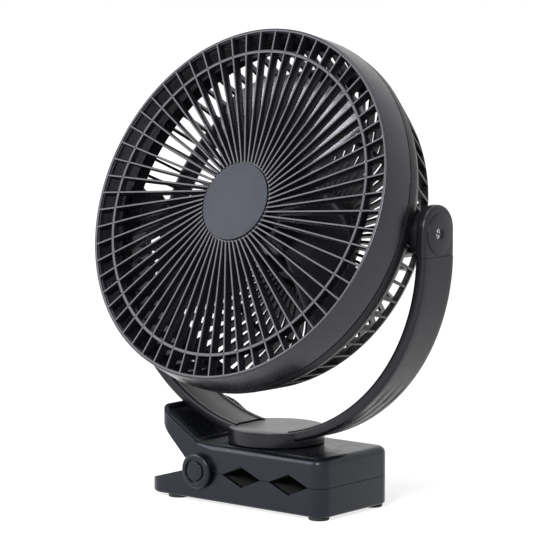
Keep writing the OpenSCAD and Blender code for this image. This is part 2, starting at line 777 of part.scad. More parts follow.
module upper_jaw() color(shell_grey) difference() {
    union() {
        difference() {
            intersection() {
                side_extrude(clamp_half) upper_outline();
                linear_extrude(clamp_top + 2 * upper_lever_rise) clamp_plan(upper_lever_x, 0);
            }
            intersection() {
                side_extrude(clamp_half) upper_cavity_outline();
                linear_extrude(clamp_top + 2 * upper_lever_rise) clamp_plan(upper_lever_x, jaw_wall);
            }
            side_extrude(clamp_half - 2) trough_outline();
            y_rod(bay_clear_r, -inner_half, inner_half, -hinge_x, hinge_z);
        }
        for (x = grip_screw_xs, s = [-1, 1])
            translate([x, s * grip_screw_y, upper_edge_z + pad_t + grip_t])
            cylinder(r = post_r, h = clamp_top - jaw_wall - upper_edge_z - pad_t - grip_t + tiny);
    }
    y_rod(pin_r + run_gap, -clamp_half - 1, clamp_half + 1, -hinge_x, hinge_z);
    cylinder(r = bush_r, h = clamp_top + 1);
    for (x = grip_screw_xs, s = [-1, 1]) translate([x, s * grip_screw_y, 0])
        cylinder(r = grip_screw_r, h = upper_edge_z + pad_t + grip_screw_l + 0.5);
}

module upper_grip_plate() color(dark_grey) difference() {
    grip_body(upper_edge_z, 1, pad_t, grip_t);
    for (x = grip_screw_xs, s = [-1, 1]) translate([x, s * grip_screw_y, 0]) {
        cylinder(r = grip_screw_r, h = clamp_top);
        cylinder(r = grip_head_r, h = upper_edge_z + pad_t + grip_head_h);
    }
}

module upper_jaw_pad() color(rubber_black) grip_body(upper_edge_z, 1, 0, pad_t);

module upper_plate_screws() color(steel) for (x = grip_screw_xs, s = [-1, 1])
    translate([x, s * grip_screw_y, upper_edge_z + pad_t]) grip_screw();

module swivel_bush() color(brass) {
    tube(bush_r, bolt_r + run_gap, bush_bottom, clamp_top);
    tube(bush_flange_r, bolt_r + run_gap, bush_bottom, bush_bottom + bush_flange_t);
}

// ---------- yoke ----------

// Section of the yoke's band in radius and width, with round edges
module band_section() {
    translate([yoke_ri, -yoke_half + yoke_edge]) square([yoke_t, 2 * (yoke_half - yoke_edge)]);
    translate([yoke_ri + yoke_edge, -yoke_half]) square([yoke_t - 2 * yoke_edge, 2 * yoke_half]);
    for (x = [yoke_ri + yoke_edge, yoke_ro - yoke_edge], s = [-1, 1])
        translate([x, s * (yoke_half - yoke_edge)]) circle(yoke_edge);
}

// Sweeps a section round the yoke's curve, from a0 to a1 degrees off straight down, towards +X
module yoke_sweep(a0, a1) {
    translate([0, 0, yoke_cz]) rotate([90, 0, 0]) rotate([0, 0, a0 - 90])
        rotate_extrude(angle = a1 - a0) children();
}

// Plan of the hub cover, grown by grow on every side
module hub_cover_plan(grow) {
    difference() {
        circle(swivel_r - 0.4 + grow);
        for (s = [-1, 1]) translate([s * (cover_reach + grow + cover_cut), 0])
            square([2 * cover_cut, 2 * (yoke_half + 0.3 - grow)], center = true);
    }
}

module yoke_frame() color(shell_grey) difference() {
    union() {
        yoke_sweep(-90, 90) band_section();
        both_sides() {
            translate([0, 0, yoke_cz - tiny]) linear_extrude(arm_rise + 2 * tiny) band_section();
            translate([0, 0, pivot_z]) x_rod(yoke_half, yoke_ri, yoke_ro);
        }
        translate([0, 0, hub_bottom]) cylinder(r = swivel_r, h = hub_top - hub_bottom);
    }
    // Seat of the hub cover
    translate([0, 0, cover_seat_z]) linear_extrude(hub_top) hub_cover_plan(0.2);
    // Seats of the bolt and the friction disc
    translate([0, 0, bolt_head_z]) cylinder(r = bolt_head_r + 0.3, h = cut_through);
    cylinder(r = bolt_r, h = hub_top);
    cylinder(r = friction_r + 0.1, h = hub_bottom + friction_t);
    // Channels of the liners and the lead
    both_sides() yoke_sweep(liner_from, liner_to) translate([yoke_ri - 5, -liner_half])
        square([5 + liner_drop + liner_t, 2 * liner_half]);
    mirror([1, 0, 0]) yoke_sweep(liner_from, liner_to - 1) translate([yoke_ri, -lead_channel / 2])
        square([liner_drop + liner_t + lead_channel, lead_channel]);
    both_sides() {
        // Seat of the arm cap, with room for the screw's head
        translate([cap_seat_x, -yoke_half - 1, pivot_z - cap_drop])
            cube([yoke_t, 2 * yoke_half + 2, cap_drop + 2 * yoke_half]);
        translate([0, 0, pivot_z]) x_rod(tilt_bush_r, yoke_ri - 1, yoke_ro);
    }
}

module yoke_liner() {
    yoke_sweep(liner_from + 0.1, liner_to - 0.1) translate([liner_ri, -liner_half + 0.1])
        square([liner_t, 2 * liner_half - 0.2]);
}

module yoke_liner_right() color(badge_grey) yoke_liner();

module yoke_liner_left() color(badge_grey) mirror([1, 0, 0]) yoke_liner();

module hub_cover() color(cover_grey) translate([0, 0, cover_seat_z]) linear_extrude(hub_cover_t) hub_cover_plan(0);

// Cap of the right arm, hollow behind its skin where the screw's head lies
module arm_cap() difference() {
    union() {
        translate([0, 0, pivot_z]) x_rod(yoke_half, cap_seat_x, cap_seat_x + cap_t);
        translate([cap_seat_x, -yoke_half, pivot_z - cap_drop]) cube([cap_t, 2 * yoke_half, cap_drop]);
    }
    translate([cap_seat_x - 1, -yoke_half - 1, pivot_z - 2 * cap_drop + 0.2])
        cube([cap_t + 2, 2 * yoke_half + 2, cap_drop]);
    translate([0, 0, pivot_z]) {
        x_rod(tilt_head_r + 0.6, cap_seat_x - 1, cap_seat_x + cap_t - cap_skin);
        x_rod(cap_hole_r, cap_seat_x - 1, yoke_ro + 5);
        difference() {
            x_rod(cap_groove_r + 0.4, cap_seat_x + cap_t - 0.6, yoke_ro + 5);
            x_rod(cap_groove_r - 0.4, cap_seat_x, yoke_ro + 6);
        }
    }
}

module arm_cap_right() color(shell_grey) arm_cap();

module arm_cap_left() color(shell_grey) mirror([1, 0, 0]) arm_cap();

module swivel_bolt() color(steel) difference() {
    union() {
        translate([0, 0, nut_bottom]) cylinder(r = bolt_r, h = bolt_head_z - nut_bottom + tiny);
        translate([0, 0, bolt_head_z]) cylinder(r = bolt_head_r, h = bolt_head_h);
    }
    cylinder(r = bolt_hole_r, h = hub_top);
    translate([0, 0, bolt_head_z + 1.2]) cylinder(r = 2.9, h = 5, $fn = 6);
}

module swivel_washer() color(steel) tube(bush_flange_r - 0.5, bolt_r, nut_top, washer_top);

module swivel_nut() color(steel) translate([0, 0, nut_bottom]) difference() {
    cylinder(r = nut_r, h = nut_h, $fn = 6);
    translate([0, 0, -1]) cylinder(r = bolt_r, h = nut_h + 2);
}

module friction_disc() color(rubber_black) tube(friction_r, bolt_r + 3, hub_bottom, hub_bottom + friction_t);

module tilt_bush() translate([0, 0, pivot_z]) difference() {
    x_rod(tilt_bush_r, yoke_ri, bush_end_x);
    x_rod(tilt_screw_r + run_gap, yoke_ri - 1, yoke_ro);
}

module tilt_bush_right() color(brass) tilt_bush();

module tilt_bush_left() color(brass) mirror([1, 0, 0]) tilt_bush();

module yoke_lead() color(rubber_black) mirror([1, 0, 0])
    yoke_sweep(liner_from + 1, liner_to - 2) translate([lead_at_r, 0]) circle(lead_r);

// ---------- head: front grille ----------

rib_pitch = 360 / rib_count;

// Point at radius r on the line beside rib k that lies c off the rib's own ray
function rib_point(k, r, c) = let (x = sqrt(r * r - c * c), a = rib_start + k * rib_pitch)
    [x * cos(a) - c * sin(a), x * sin(a) + c * cos(a)];

// Point half way along the arc between p and q, at radius r
function arc_mid(p, q, r) = (p + q) * r / norm(p + q);

// Window between ribs k and k + 1, from r0 to r1
function rib_window(k, r0, r1) =
    let (low = -rib_offset + rib_w / 2, high = -rib_offset - rib_w / 2,
        a = rib_point(k, r0, low), b = rib_point(k, r1, low),
        c = rib_point(k + 1, r1, high), d = rib_point(k + 1, r0, high))
    [a, b, arc_mid(b, c, r1), c, d, arc_mid(d, a, r0)];

// Rib wheel: a disc with one window inside and one outside the ring, between each two ribs
module rib_wheel() {
    outline = [for (i = [0 : 2 * rib_count - 1]) rib_end_r * [cos(180 * i / rib_count), sin(180 * i / rib_count)]];
    inner = [for (k = [0 : rib_count - 1]) rib_window(k, centre_r, ring_r - ring_w / 2)];
    outer = [for (k = [0 : rib_count - 1]) rib_window(k, ring_r + ring_w / 2, rib_end_r - 0.2)];
    windows = concat(inner, outer);
    points = concat(outline, [for (w = windows) each w]);
    first = len(outline);
    paths = concat([[for (i = [0 : first - 1]) i]],
        [for (j = [0 : len(windows) - 1]) [for (i = [0 : 5]) first + 6 * j + i]]);
    translate([0, 0, rib_back]) linear_extrude(rib_d) polygon(points = points, paths = paths);
}

// Wall of the front grille with the spigot that enters the rear rim
module front_rim() rotate_extrude() polygon([
    [face_r - lip_w, front_depth], [face_r, front_depth], [rim_r, split_depth + groove_w],
    [rim_r - groove_d, split_depth + groove_w], [rim_r - groove_d, split_depth], [spigot_r, split_depth],
    [spigot_r, split_depth - spigot_l], [spigot_r - spigot_t, split_depth - spigot_l],
    [spigot_r - spigot_t, split_depth + 2], [face_r - lip_w, rib_back]]);

// Rim latch across the groove, grown by grow and reaching out by reach
module rim_latch(grow, reach) for (i = [0 : latch_count - 1]) rotate(latch_a + i * 360 / latch_count)
    translate([rim_in_r - 0.1 - grow, -latch_w / 2 - grow, split_depth - latch_tongue - grow])
        cube([reach + 0.1 + grow, latch_w + 2 * grow, latch_tongue + groove_w + 1.5 + grow]);

module front_grille() color(shell_grey) head_place() difference() {
    union() {
        rib_wheel();
        front_rim();
        rim_latch(0, rim_wall - 0.2);
    }
    translate([0, 0, front_depth + badge_proud - badge_t]) cylinder(r = badge_r + 0.3, h = badge_t + 1);
}

module hub_badge() color(badge_grey) head_place()
    translate([0, 0, front_depth + badge_proud - badge_t]) rotate_extrude() polygon([[0, 0], [badge_r, 0],
        [badge_r, badge_t - 0.6], [badge_r - 0.6, badge_t], [0, badge_t]]);

// ---------- head: rear grille ----------

// Radius of the cage's outer line at depth w along its side
function side_r(w) = rim_edge_r
    - (rim_edge_depth - w) * (rim_edge_r - shoulder_r) / (rim_edge_depth + shoulder_depth);

module cage_profile() polygon([
    [rim_edge_r, rim_edge_depth], [shoulder_r, -shoulder_depth], [shoulder_turn_r, shoulder_turn_w],
    [rear_flat_r, -rear_depth], [0, -rear_depth], [0, plate_in], [rear_flat_r - cage_flat_in, plate_in],
    [shoulder_turn_r - cage_turn_wall[0], shoulder_turn_w + cage_turn_wall[1]],
    [shoulder_r - bar_d, -shoulder_depth + cage_shoulder_up], [rim_edge_r - bar_d, rim_edge_depth]]);

// Star of thin radial spokes, as long as the cage is wide
module bar_star() {
    reach = rim_r + 1;
    start = rear_plate_r - 6;
    points = [for (k = [0 : rib_count - 1], p = [[start, -bar_t / 2], [reach, -bar_t / 2], [reach, bar_t / 2],
        [start, bar_t / 2]]) let (a = bar_start + k * rib_pitch)
        [p[0] * cos(a) - p[1] * sin(a), p[0] * sin(a) + p[1] * cos(a)]];
    translate([0, 0, -rear_depth - 1]) linear_extrude(rear_depth + rim_edge_depth + 2) polygon(points);
}

module rear_rim() rotate_extrude() polygon([
    [rim_r, split_depth], [rim_edge_r, rim_edge_depth], [side_r(rim_chamfer_depth) - rim_step, rim_chamfer_depth],
    [side_r(rim_chamfer_depth) - rim_step - rim_wall, rim_chamfer_depth],
    [rim_in_r, rim_edge_depth + 3 * rim_step], [rim_in_r, split_depth]]);

module shoulder_ring() rotate_extrude() polygon([
    [shoulder_r - shoulder_proud, -shoulder_depth], [shoulder_turn_r - shoulder_proud, shoulder_ring_end],
    [shoulder_turn_r - shoulder_proud - shoulder_wall, shoulder_ring_end],
    [shoulder_r - shoulder_proud - shoulder_wall, -shoulder_depth]]);

module rear_grille() color(shell_grey) head_place() difference() {
    union() {
        intersection() {
            rotate_extrude() cage_profile();
            bar_star();
        }
        rear_rim();
        shoulder_ring();
        tube(rear_flat_r, rear_flat_r - mid_ring_w, -rear_depth, plate_in);
        translate([0, 0, -rear_depth]) cylinder(r = rear_plate_r, h = rear_t);
        both_sides() x_rod(trunnion_r, trunnion_start, trunnion_end);
    }
    // Seat and window of the control board
    translate([0, 0, -rear_depth - 1]) cylinder(r = board_r + 0.3, h = 1 + rear_t - ledge_t);
    translate([0, 0, -rear_depth - 1]) cylinder(r = board_r - 2, h = cut_through);
    for (a = screw_angles) rotate(a) translate([cover_screw_at, 0, -rear_depth - 1])
        cylinder(r = cover_screw_r + 0.2, h = cut_through);
    both_sides() x_rod(insert_r, trunnion_end - insert_l, trunnion_end + 1);
    rim_latch(0.2, rim_wall + 1);
}

module trunnion_inserts() color(brass) head_place() both_sides() difference() {
    x_rod(insert_r, trunnion_end - insert_l, trunnion_end);
    x_rod(tilt_screw_r, trunnion_end - insert_l - 1, trunnion_end + 1);
}

module tilt_screws() color(steel) head_place() both_sides() difference() {
    union() {
        x_rod(tilt_screw_r, trunnion_end - insert_l + 1, tilt_head_x + tiny);
        x_rod(tilt_head_r, tilt_head_x, tilt_head_x + tilt_head_h);
    }
    for (a = [0, 90]) rotate([a, 0, 0])
        translate([tilt_head_x + tilt_head_h - slot_d, -slot_l / 2, -slot_w / 2])
        cube([2 * slot_d, slot_l, slot_w]);
}

module tilt_washers() color(steel) head_place() both_sides() difference() {
    x_rod(tilt_head_r + tilt_washer_over, tilt_head_x - tilt_washer_t, tilt_head_x);
    x_rod(tilt_screw_r, tilt_head_x - 2 * tilt_washer_t, tilt_head_x + tilt_washer_t);
}

// ---------- head: motor ----------

module motor_housing() color(shell_grey) head_place() difference() {
    union() {
        difference() {
            translate([0, 0, plate_in]) cylinder(r = house_r, h = house_front - plate_in);
            translate([0, 0, plate_in - 1])
                cylinder(r = house_r - house_wall, h = house_front - plate_in + 1 - house_wall);
        }
        for (a = screw_angles) rotate(a) translate([cover_screw_at, 0, plate_in]) cylinder(r = post_r, h = 12);
        tube(motor_r + 1.8, motor_r + 0.1, can_front - 6, can_front + house_wall / 2);
    }
    translate([0, 0, house_front - 10]) cylinder(r = shaft_boss_r + 0.5, h = 11);
    for (s = [-1, 1]) translate([s * motor_screw_at, 0, house_front - 10]) cylinder(r = motor_screw_r, h = 11);
    for (a = screw_angles) rotate(a) translate([cover_screw_at, 0, plate_in - 1])
        cylinder(r = cover_screw_r, h = 11);
}

module motor_can() color(steel) head_place() difference() {
    union() {
        difference() {
            translate([0, 0, can_back]) cylinder(r = motor_r, h = motor_l);
            translate([0, 0, can_back + can_wall]) cylinder(r = motor_r - can_wall, h = motor_l - 2 * can_wall);
        }
        translate([0, 0, can_front - bearing_l]) cylinder(r = bearing_r + seat_wall, h = bearing_l);
        translate([0, 0, can_back]) cylinder(r = bearing_r + seat_wall, h = bearing_l);
    }
    translate([0, 0, can_front - bearing_l - 1]) cylinder(r = bearing_r, h = bearing_l + 2);
    translate([0, 0, can_back - 1]) cylinder(r = bearing_r, h = bearing_l + 2);
    for (s = [-1, 1]) translate([s * motor_screw_at, 0, can_front - 2 * can_wall]) cylinder(r = motor_screw_r, h = 9);
}

// Two curved magnets inside the can
module motor_magnets() color(dark_grey) head_place() for (a = [20, 200]) rotate(a)
    translate([0, 0, rotor_back]) rotate_extrude(angle = 140)
        translate([magnet_r - magnet_t, 0]) square([magnet_t, rotor_front - rotor_back]);

module front_bearing() color(brass) head_place() tube(bearing_r, shaft_r + run_gap, can_front - bearing_l, can_front);

module rear_bearing() color(brass) head_place() tube(bearing_r, shaft_r + run_gap, can_back, can_back + bearing_l);

module motor_screws() color(steel) head_place() for (s = [-1, 1]) translate([s * motor_screw_at, 0, 0]) {
    translate([0, 0, house_front]) cylinder(r = motor_screw_r + 0.9, h = 1.1);
    translate([0, 0, can_front - can_wall]) cylinder(r = motor_screw_r, h = house_front - can_front + can_wall + tiny);
}

module motor_leads() color(copper) head_place() for (s = [-1, 1])
    translate([s * 9, 0, board_back + board_t]) cylinder(r = 0.7, h = can_back - board_back - board_t);

// ---------- head: controls ----------

module control_board() color(board_green) head_place() translate([0, 0, board_back])
    cylinder(r = board_r, h = board_t);

module tact_switch() color(dark_grey) head_place() {
    translate([-3, -3, board_back - switch_h]) cube([6, 6, switch_h]);
    translate([0, 0, board_back - switch_h - plunger_h]) cylinder(r = 1.75, h = plunger_h + tiny);
}

port_end = cover_r - 0.9;
port_back = -rear_depth - port_h - 0.2;

module charging_port() color(steel) head_place() {
    difference() {
        translate([-port_w / 2, -port_end, port_back]) cube([port_w, port_l, port_h]);
        translate([-port_w / 2 + 0.4, -port_end - 1, port_back + 0.4]) cube([port_w - 0.8, port_l, port_h - 0.8]);
    }
    translate([-port_w / 2 + 1.6, -port_end - tiny + 1, port_back + port_h / 2 - 0.35])
        cube([port_w - 3.2, port_l - 1.2, 0.7]);
    for (s = [-1, 1]) translate([s * (port_w / 2 - 1), -board_r + 1.2, -rear_depth - 0.2 - tiny])
        cylinder(r = 0.5, h = 0.6 + tiny);
}

module indicator_lenses() color([0.75, 0.85, 1.0]) head_place() for (a = [60, 90, 120]) rotate(a)
    translate([lens_at, 0, cover_back]) cylinder(r = lens_r, h = cover_d + 0.4);

module rear_cover() color(shell_grey) head_place() difference() {
    union() {
        difference() {
            translate([0, 0, cover_back]) cylinder(r = cover_r, h = cover_d);
            translate([0, 0, cover_in]) cylinder(r = cover_r - cover_wall, h = cover_d);
        }
        for (a = screw_angles) rotate(a) translate([cover_screw_at, 0, cover_back]) cylinder(r = post_r, h = cover_d);
    }
    translate([0, 0, cover_back - 1]) cylinder(r = button_r + head_fit, h = cut_through);
    for (a = screw_angles) rotate(a) translate([cover_screw_at, 0, cover_back - 1]) {
        cylinder(r = cover_screw_r + 0.2, h = 20);
        cylinder(r = screw_head_r + 0.2, h = 1 + screw_head_h + 0.2);
    }
    for (a = [60, 90, 120]) rotate(a) translate([lens_at, 0, cover_back - 1]) cylinder(r = lens_r, h = cut_through);
    translate([-port_w / 2 - 0.2, -cover_r - 1, port_back - 0.2]) cube([port_w + 0.4, 8, port_h + 0.3]);
}

module cover_screws_rear() color(steel) head_place() for (a = screw_angles) rotate(a)
    translate([cover_screw_at, 0, cover_back + 0.2]) difference() {
        union() {
            cylinder(r = screw_head_r, h = screw_head_h);
            cylinder(r = cover_screw_r, h = cover_d + rear_t + 8);
        }
        for (b = [0, 90]) rotate(b) translate([-1.2, -0.25, -tiny]) cube([2.4, 0.5, 0.8]);
    }

module power_button() color(cover_grey) head_place() difference() {
    union() {
        translate([0, 0, cover_back - button_proud]) cylinder(r = button_r, h = button_proud + cover_wall + side_gap);
        translate([0, 0, button_in]) cylinder(r = button_flange_r, h = button_flange_t);
        translate([0, 0, button_in]) cylinder(r = 1.5,
            h = board_back - switch_h - plunger_h - button_travel - 0.1 - button_in);
    }
    translate([0, 0, cover_back - button_proud - 18]) sphere(18.35);
}

// ---------- impeller ----------

// Plan of a blade, with its middle line along X: a straight edge, a round corner at the tip and a round side
module blade_plan() {
    corner_at = blade_r - blade_corner_r;
    difference() {
        hull() {
            rotate(asin(blade_corner_r / corner_at) - blade_lead) translate([corner_at, 0])
                circle(blade_corner_r);
            rotate(blade_sweep) translate([blade_r - blade_lobe_r - lobe_inset, 0]) circle(blade_lobe_r);
            circle(shaft_r);
        }
        circle(hub_r - 1);
    }
}

// One blade: a flat plate at the pitch, cut to the blade's plan
module blade() intersection() {
    translate([0, 0, blade_back - blade_t]) linear_extrude(blade_depth + 2 * blade_t) blade_plan();
    translate([0, 0, blade_mid]) rotate([blade_pitch, 0, 0])
        translate([0, -blade_r, -blade_t / 2]) cube([blade_r + 1, 2 * blade_r, blade_t]);
}

module impeller() color(blade_grey) head_place() difference() {
    union() {
        difference() {
            translate([0, 0, blade_back]) cylinder(r = hub_r, h = hub_front - blade_back);
            translate([0, 0, blade_back - 1]) cylinder(r = hub_r - hub_wall, h = hub_front - blade_back + 1 - hub_wall);
        }
        translate([0, 0, blade_back]) cylinder(r = shaft_boss_r, h = hub_front - blade_back);
        for (k = [0 : blade_count - 1]) rotate(blade_start + k * 360 / blade_count) blade();
    }
    translate([0, 0, blade_back - 1]) cylinder(r = shaft_r, h = 2 * blade_depth);
}

module motor_shaft() color(steel) head_place() translate([0, 0, can_back]) cylinder(r = shaft_r,
    h = hub_front + 4 - can_back);

module rotor_core() color(copper) head_place() tube(rotor_r, shaft_r, rotor_back, rotor_front);

module impeller_nut() color(steel) head_place() translate([0, 0, hub_front]) difference() {
    cylinder(r = 4.5, h = 3.4, $fn = 6);
    translate([0, 0, -1]) cylinder(r = shaft_r, h = 6);
}

lower_jaw();
lower_grip_plate();
lower_jaw_pad();
lower_plate_screws();
rubber_feet();
hinge_pin();
hinge_cap_front();
hinge_cap_rear();
spring_lower_half();
battery_pack();
battery_foam();
protection_board();
upper_jaw();
upper_grip_plate();
upper_jaw_pad();
upper_plate_screws();
spring_upper_half();
swivel_bush();
yoke_frame();
yoke_liner_left();
yoke_liner_right();
hub_cover();
arm_cap_left();
arm_cap_right();
swivel_bolt();
swivel_washer();
swivel_nut();
friction_disc();
tilt_bush_left();
tilt_bush_right();
yoke_lead();
front_grille();
hub_badge();
rear_grille();
motor_housing();
rear_cover();
motor_can();
motor_magnets();
front_bearing();
rear_bearing();
motor_screws();
motor_leads();
control_board();
charging_port();
tact_switch();
indicator_lenses();
cover_screws_rear();
tilt_screws();
tilt_washers();
trunnion_inserts();
impeller();
motor_shaft();
rotor_core();
impeller_nut();
power_button();
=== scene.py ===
"""Portable camping fan on a spring clamp, dressed for its picture.

Shape functions work in millimetres, and piece() turns their points into metres. A part is a pair: its
points, and a list of face arrays. Points of the fan's head are worked out in the head's own frame, with u
to the right, v up the cage and w forward along the fan's axis, and head() puts them in place. A corner of a
profile or outline is (x, y, cut), where cut says how far from the corner its round begins.
"""

import bpy
import numpy as np
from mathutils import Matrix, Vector


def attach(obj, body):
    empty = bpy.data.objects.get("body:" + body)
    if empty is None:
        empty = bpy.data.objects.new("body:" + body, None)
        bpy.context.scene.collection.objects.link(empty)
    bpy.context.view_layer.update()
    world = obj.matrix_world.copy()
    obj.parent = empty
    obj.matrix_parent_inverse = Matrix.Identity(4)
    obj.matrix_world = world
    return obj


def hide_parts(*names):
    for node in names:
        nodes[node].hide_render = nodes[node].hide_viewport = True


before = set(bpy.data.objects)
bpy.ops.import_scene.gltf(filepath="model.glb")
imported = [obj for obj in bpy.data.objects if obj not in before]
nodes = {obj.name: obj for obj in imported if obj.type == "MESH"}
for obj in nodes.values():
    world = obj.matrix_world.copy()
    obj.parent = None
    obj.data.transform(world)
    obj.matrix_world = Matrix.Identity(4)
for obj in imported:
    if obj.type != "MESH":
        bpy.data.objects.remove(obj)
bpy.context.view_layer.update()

MM = 0.001
# Points nearer than WELD are one, TINY counts as nothing, and FAR is beyond every point, all in millimetres
WELD = 1e-4
TINY = 1e-6
FAR = 1e3
# The most of an edge that the round of a corner may take
MOST_CUT = 0.45
# How far apart the two stations of a sudden step lie, in millimetres or degrees
STEP = 0.001
# Steps round the widest turned forms
RIM_TURNS = 240

# Head: its tilt at rest, the height of its axis, and its planes along w
TILT = np.radians(21)
PIVOT_Z = 166.1
BADGE_FACE_W = 40.4
FACE_W = 40.1
LIP_BACK_W = 39.2
PLATE_FACE_W = 39.2
BADGE_SEAT_W = 38.2
RIB_BACK_W = 34.1
SPLIT_W = 20.0
SPIGOT_W = 16.0
RIM_END_W = 13.3
BAR_INNER_W = -34.5
BACK_INNER_W = -36.0
BACK_W = -39.0

# Cage: its rim, and the ribs, bars, latches and rings
FACE_R = 105.0
RIM_R = 107.5
RIM_END_R = 107.0
RIM_INNER_R = 102.4
GROOVE_R = 106.3
SPIGOT_R, SPIGOT_INNER_R = 105.1, 103.5
LIP = 2.0
SPLIT_GAP = 0.7
RIB_COUNT = 60
RIB_STEP = 6.0
RIB_START = 3.87
RIB_OFFSET = -6.5
RIB_HALF = 0.66
RIB_BEVEL, RIB_BEVEL_W = 0.25, 0.35
RIB_INNER_R, RIB_SUNK = 23.9, 0.4
RING_HALF = 1.0
RING_R = 91.0
PLATE_R, PLATE_SEAT_R = 24.3, 23.5
BADGE_R = 23.2
LATCH_HALF = 3.5
LATCH_COUNT, LATCH_STEP, LATCH_START = 3, 120, 14
BAR_START = 0.6
BAR_HALF, BAR_EDGE_HALF = 0.8, 0.45
BAR_BEVEL = 0.35
BAR_END_R = 30.0
MID_RING_R, MID_RING_INNER_R = 64.0, 61.5
BACK_PLATE_R, BACK_PLATE_HOLE_R = 31.0, 19.0

# Trunnions of the head, along x
TRUNNION_R, TRUNNION_BORE_R = 12.2, 3.5
TRUNNION_START_X, TRUNNION_BORE_X, TRUNNION_END_X = 95.7, 100.7, 110.7

# Impeller: its hub, and the directions, pitch, thickness and plan of its blades. LEAD_BACK keeps a blade's
# first ray inside the plan, every ray runs LEAST_REACH past the hub or further, and a reach isn't divided by
# less than LEAST_FACING.
SHAFT_R = 1.5
BOSS_R = 5.0
HUB_R = 21.0
HUB_WALL = 2.0
HUB_FRONT_W, HUB_BACK_W = 22.1, -7.9
BLADE_MID_W = 5.3
BLADE_R = 86.4
BLADE_DIRECTIONS = (86.3, 206.3, 326.3)
BLADE_SLOPE = 0.57
BLADE_CAMBER = 0.001
BLADE_TIP_T, BLADE_ROOT_T = 0.5, 0.6
ROOT_SUNK = 0.6
LEAD_ANGLE, LEAD_BACK = 26.7, 0.2
TRAIL_ANGLE = 84.0
CORNER_R = 15.6
LOBE_R, LOBE_AT, LOBE_TRAIL = 37.3, 48.9, 2.5
LEAST_REACH = 0.5
LEAST_FACING = 0.02

# Power button, with its planes along w
BUTTON_R = 6.5
BUTTON_FACE_W, BUTTON_MIDDLE_W = -45.9, -45.65
FLANGE_R = 7.8
FLANGE_W, FLANGE_INNER_W = -42.7, -41.9
STEM_R, STEM_W = 1.5, -41.4

# Yoke: the band with its channel and grooves, the liners, the hub with its cover, and the arms' caps. A fade
# is (where it starts, how far it runs), here in degrees up the arm.
ARMS = ((1, "right"), (-1, "left"))
YOKE_RI = 111.0
YOKE_RO = 117.5
YOKE_HALF = 14.2
YOKE_CZ = 155.1
ARM_RISE = 13.0
SEAM_ANGLE = 89.02
COVER_ANGLE = 10.35
CHANNEL_D = 2.0
CHANNEL_HALF = 10.8
CHANNEL_FADE = (88.0, -2.0)
GROOVE_D = 1.1
GROOVE_HALF = 0.9
GROOVE_YS = (8.5, 0.5, -7.0)
GROOVE_TOP_FADE = (50.0, -14.0)
GROOVE_ROOT_FADE = (12.0, 4.0)
LINER_RI, LINER_RO = 111.4, 112.95
LINER_HALF = 10.7
LINER_ANGLES = (11.2, 85.8)
HUB_BASE_Z = 36.3
HUB_WALL_R, HUB_WALL_Z = 28.4, 45.1
HUB_SEAT_R = 28.15
HUB_TOP_Z = 45.2
COVER_SEAT_Z = 43.4
COVER_R = 28.0
COVER_BAY_X, COVER_BAY_HALF = 19.9, 14.5
CAP_SEAT_X = 115.3
CAP_SKIN_X = 117.35
CAP_FACE_X = 118.0
CAP_RISE = 2.0
CAP_DROP = 12.8 + CAP_RISE
CAP_ROUND = 2.0
CAP_HOLE_R = 3.2
CAP_DISC_R = 11.5

# Clamp: the jaws' plan, walls and heights, the hinge, the grip notches and the feet
CLAMP_HALF = 32.2
JAW_WALL = 2.4
MOUTH_X = 60.0
MOUTH_ROUND = 8.0
LEVER_ROUND = 10.0
UPPER_LEVER = 65.5
LOWER_LEVER = 73.6
CLAMP_TOP_Z = 36.0
UPPER_EDGE_Z = 19.05
LOWER_EDGE_Z = 18.75
FLOOR_Z = 4.4
HINGE_X = -32.1
HINGE_Z = 19.5
PIN_R = 2.5
LUG_R = 10.2
LUG_END_X = -41.7
BAY_R = 10.9
BAY_END_X = -42.0
EAR_R = 9.5
EAR_YS = (27.1, 29.5)
WEB_HALF = 8.0
NOTCH_XS = (-0.2, 35.1)
NOTCH_HALF = 14.3
NOTCH_D = 6.0
FOOT_R = 6.0
FOOT_H = 2.0
FOOT_XS = (52, -55)
FOOT_YS = (25, -25)

# Levers: slopes, the rounds of their edges, and fades in millimetres along x
LEVER_ROOT_X = -34.0
LEVER_SLOPE = 19.2 / 31.5
UNDER_X, UNDER_Z = -34.6, 17.0
UNDER_SLOPE = 29.5 / 30.0
MOUTH_EDGE, LEVER_EDGE, UNDER_EDGE = 4.0, 1.2, 1.6
EDGE_FADE = (-36.0, 12.0)
TROUGH_D = 2.0
TROUGH_FADE = (-36.5, -2.5)
RAMP_X, RAMP_TIP_Z = -42.3, 9.8
RAMP_SLOPE = (LOWER_EDGE_Z - RAMP_TIP_Z) / (RAMP_X + LOWER_LEVER)
RAMP_SOLID_X = -43.3

# Stage and camera
WHITE = (1, 1, 1, 1)
AZIMUTH, ELEVATION, DISTANCE = np.radians(39.65), np.radians(6.363), 1.53985
TARGET = Vector((-0.006857, 0, 0.13849))
SENSOR_MM, LENS_MM = 36.0, 176.56


# ---------- parts ----------

def fade(x, start, run):
    """0 at start, 1 at start + run, straight between them and level outside. A run below 0 goes towards
    lower x."""
    return np.clip((x - start) / run, 0, 1)


def weave(rows, cols, wrap_rows=False, wrap_cols=False):
    """Four-sided faces between neighbours on a grid of rows x cols points, wrapped round where asked."""
    r, c = np.meshgrid(np.arange(rows - (not wrap_rows)), np.arange(cols - (not wrap_cols)), indexing="ij")
    r1, c1 = (r + 1) % rows, (c + 1) % cols
    return np.stack([r * cols + c, r * cols + c1, r1 * cols + c1, r1 * cols + c], -1).reshape(-1, 4)


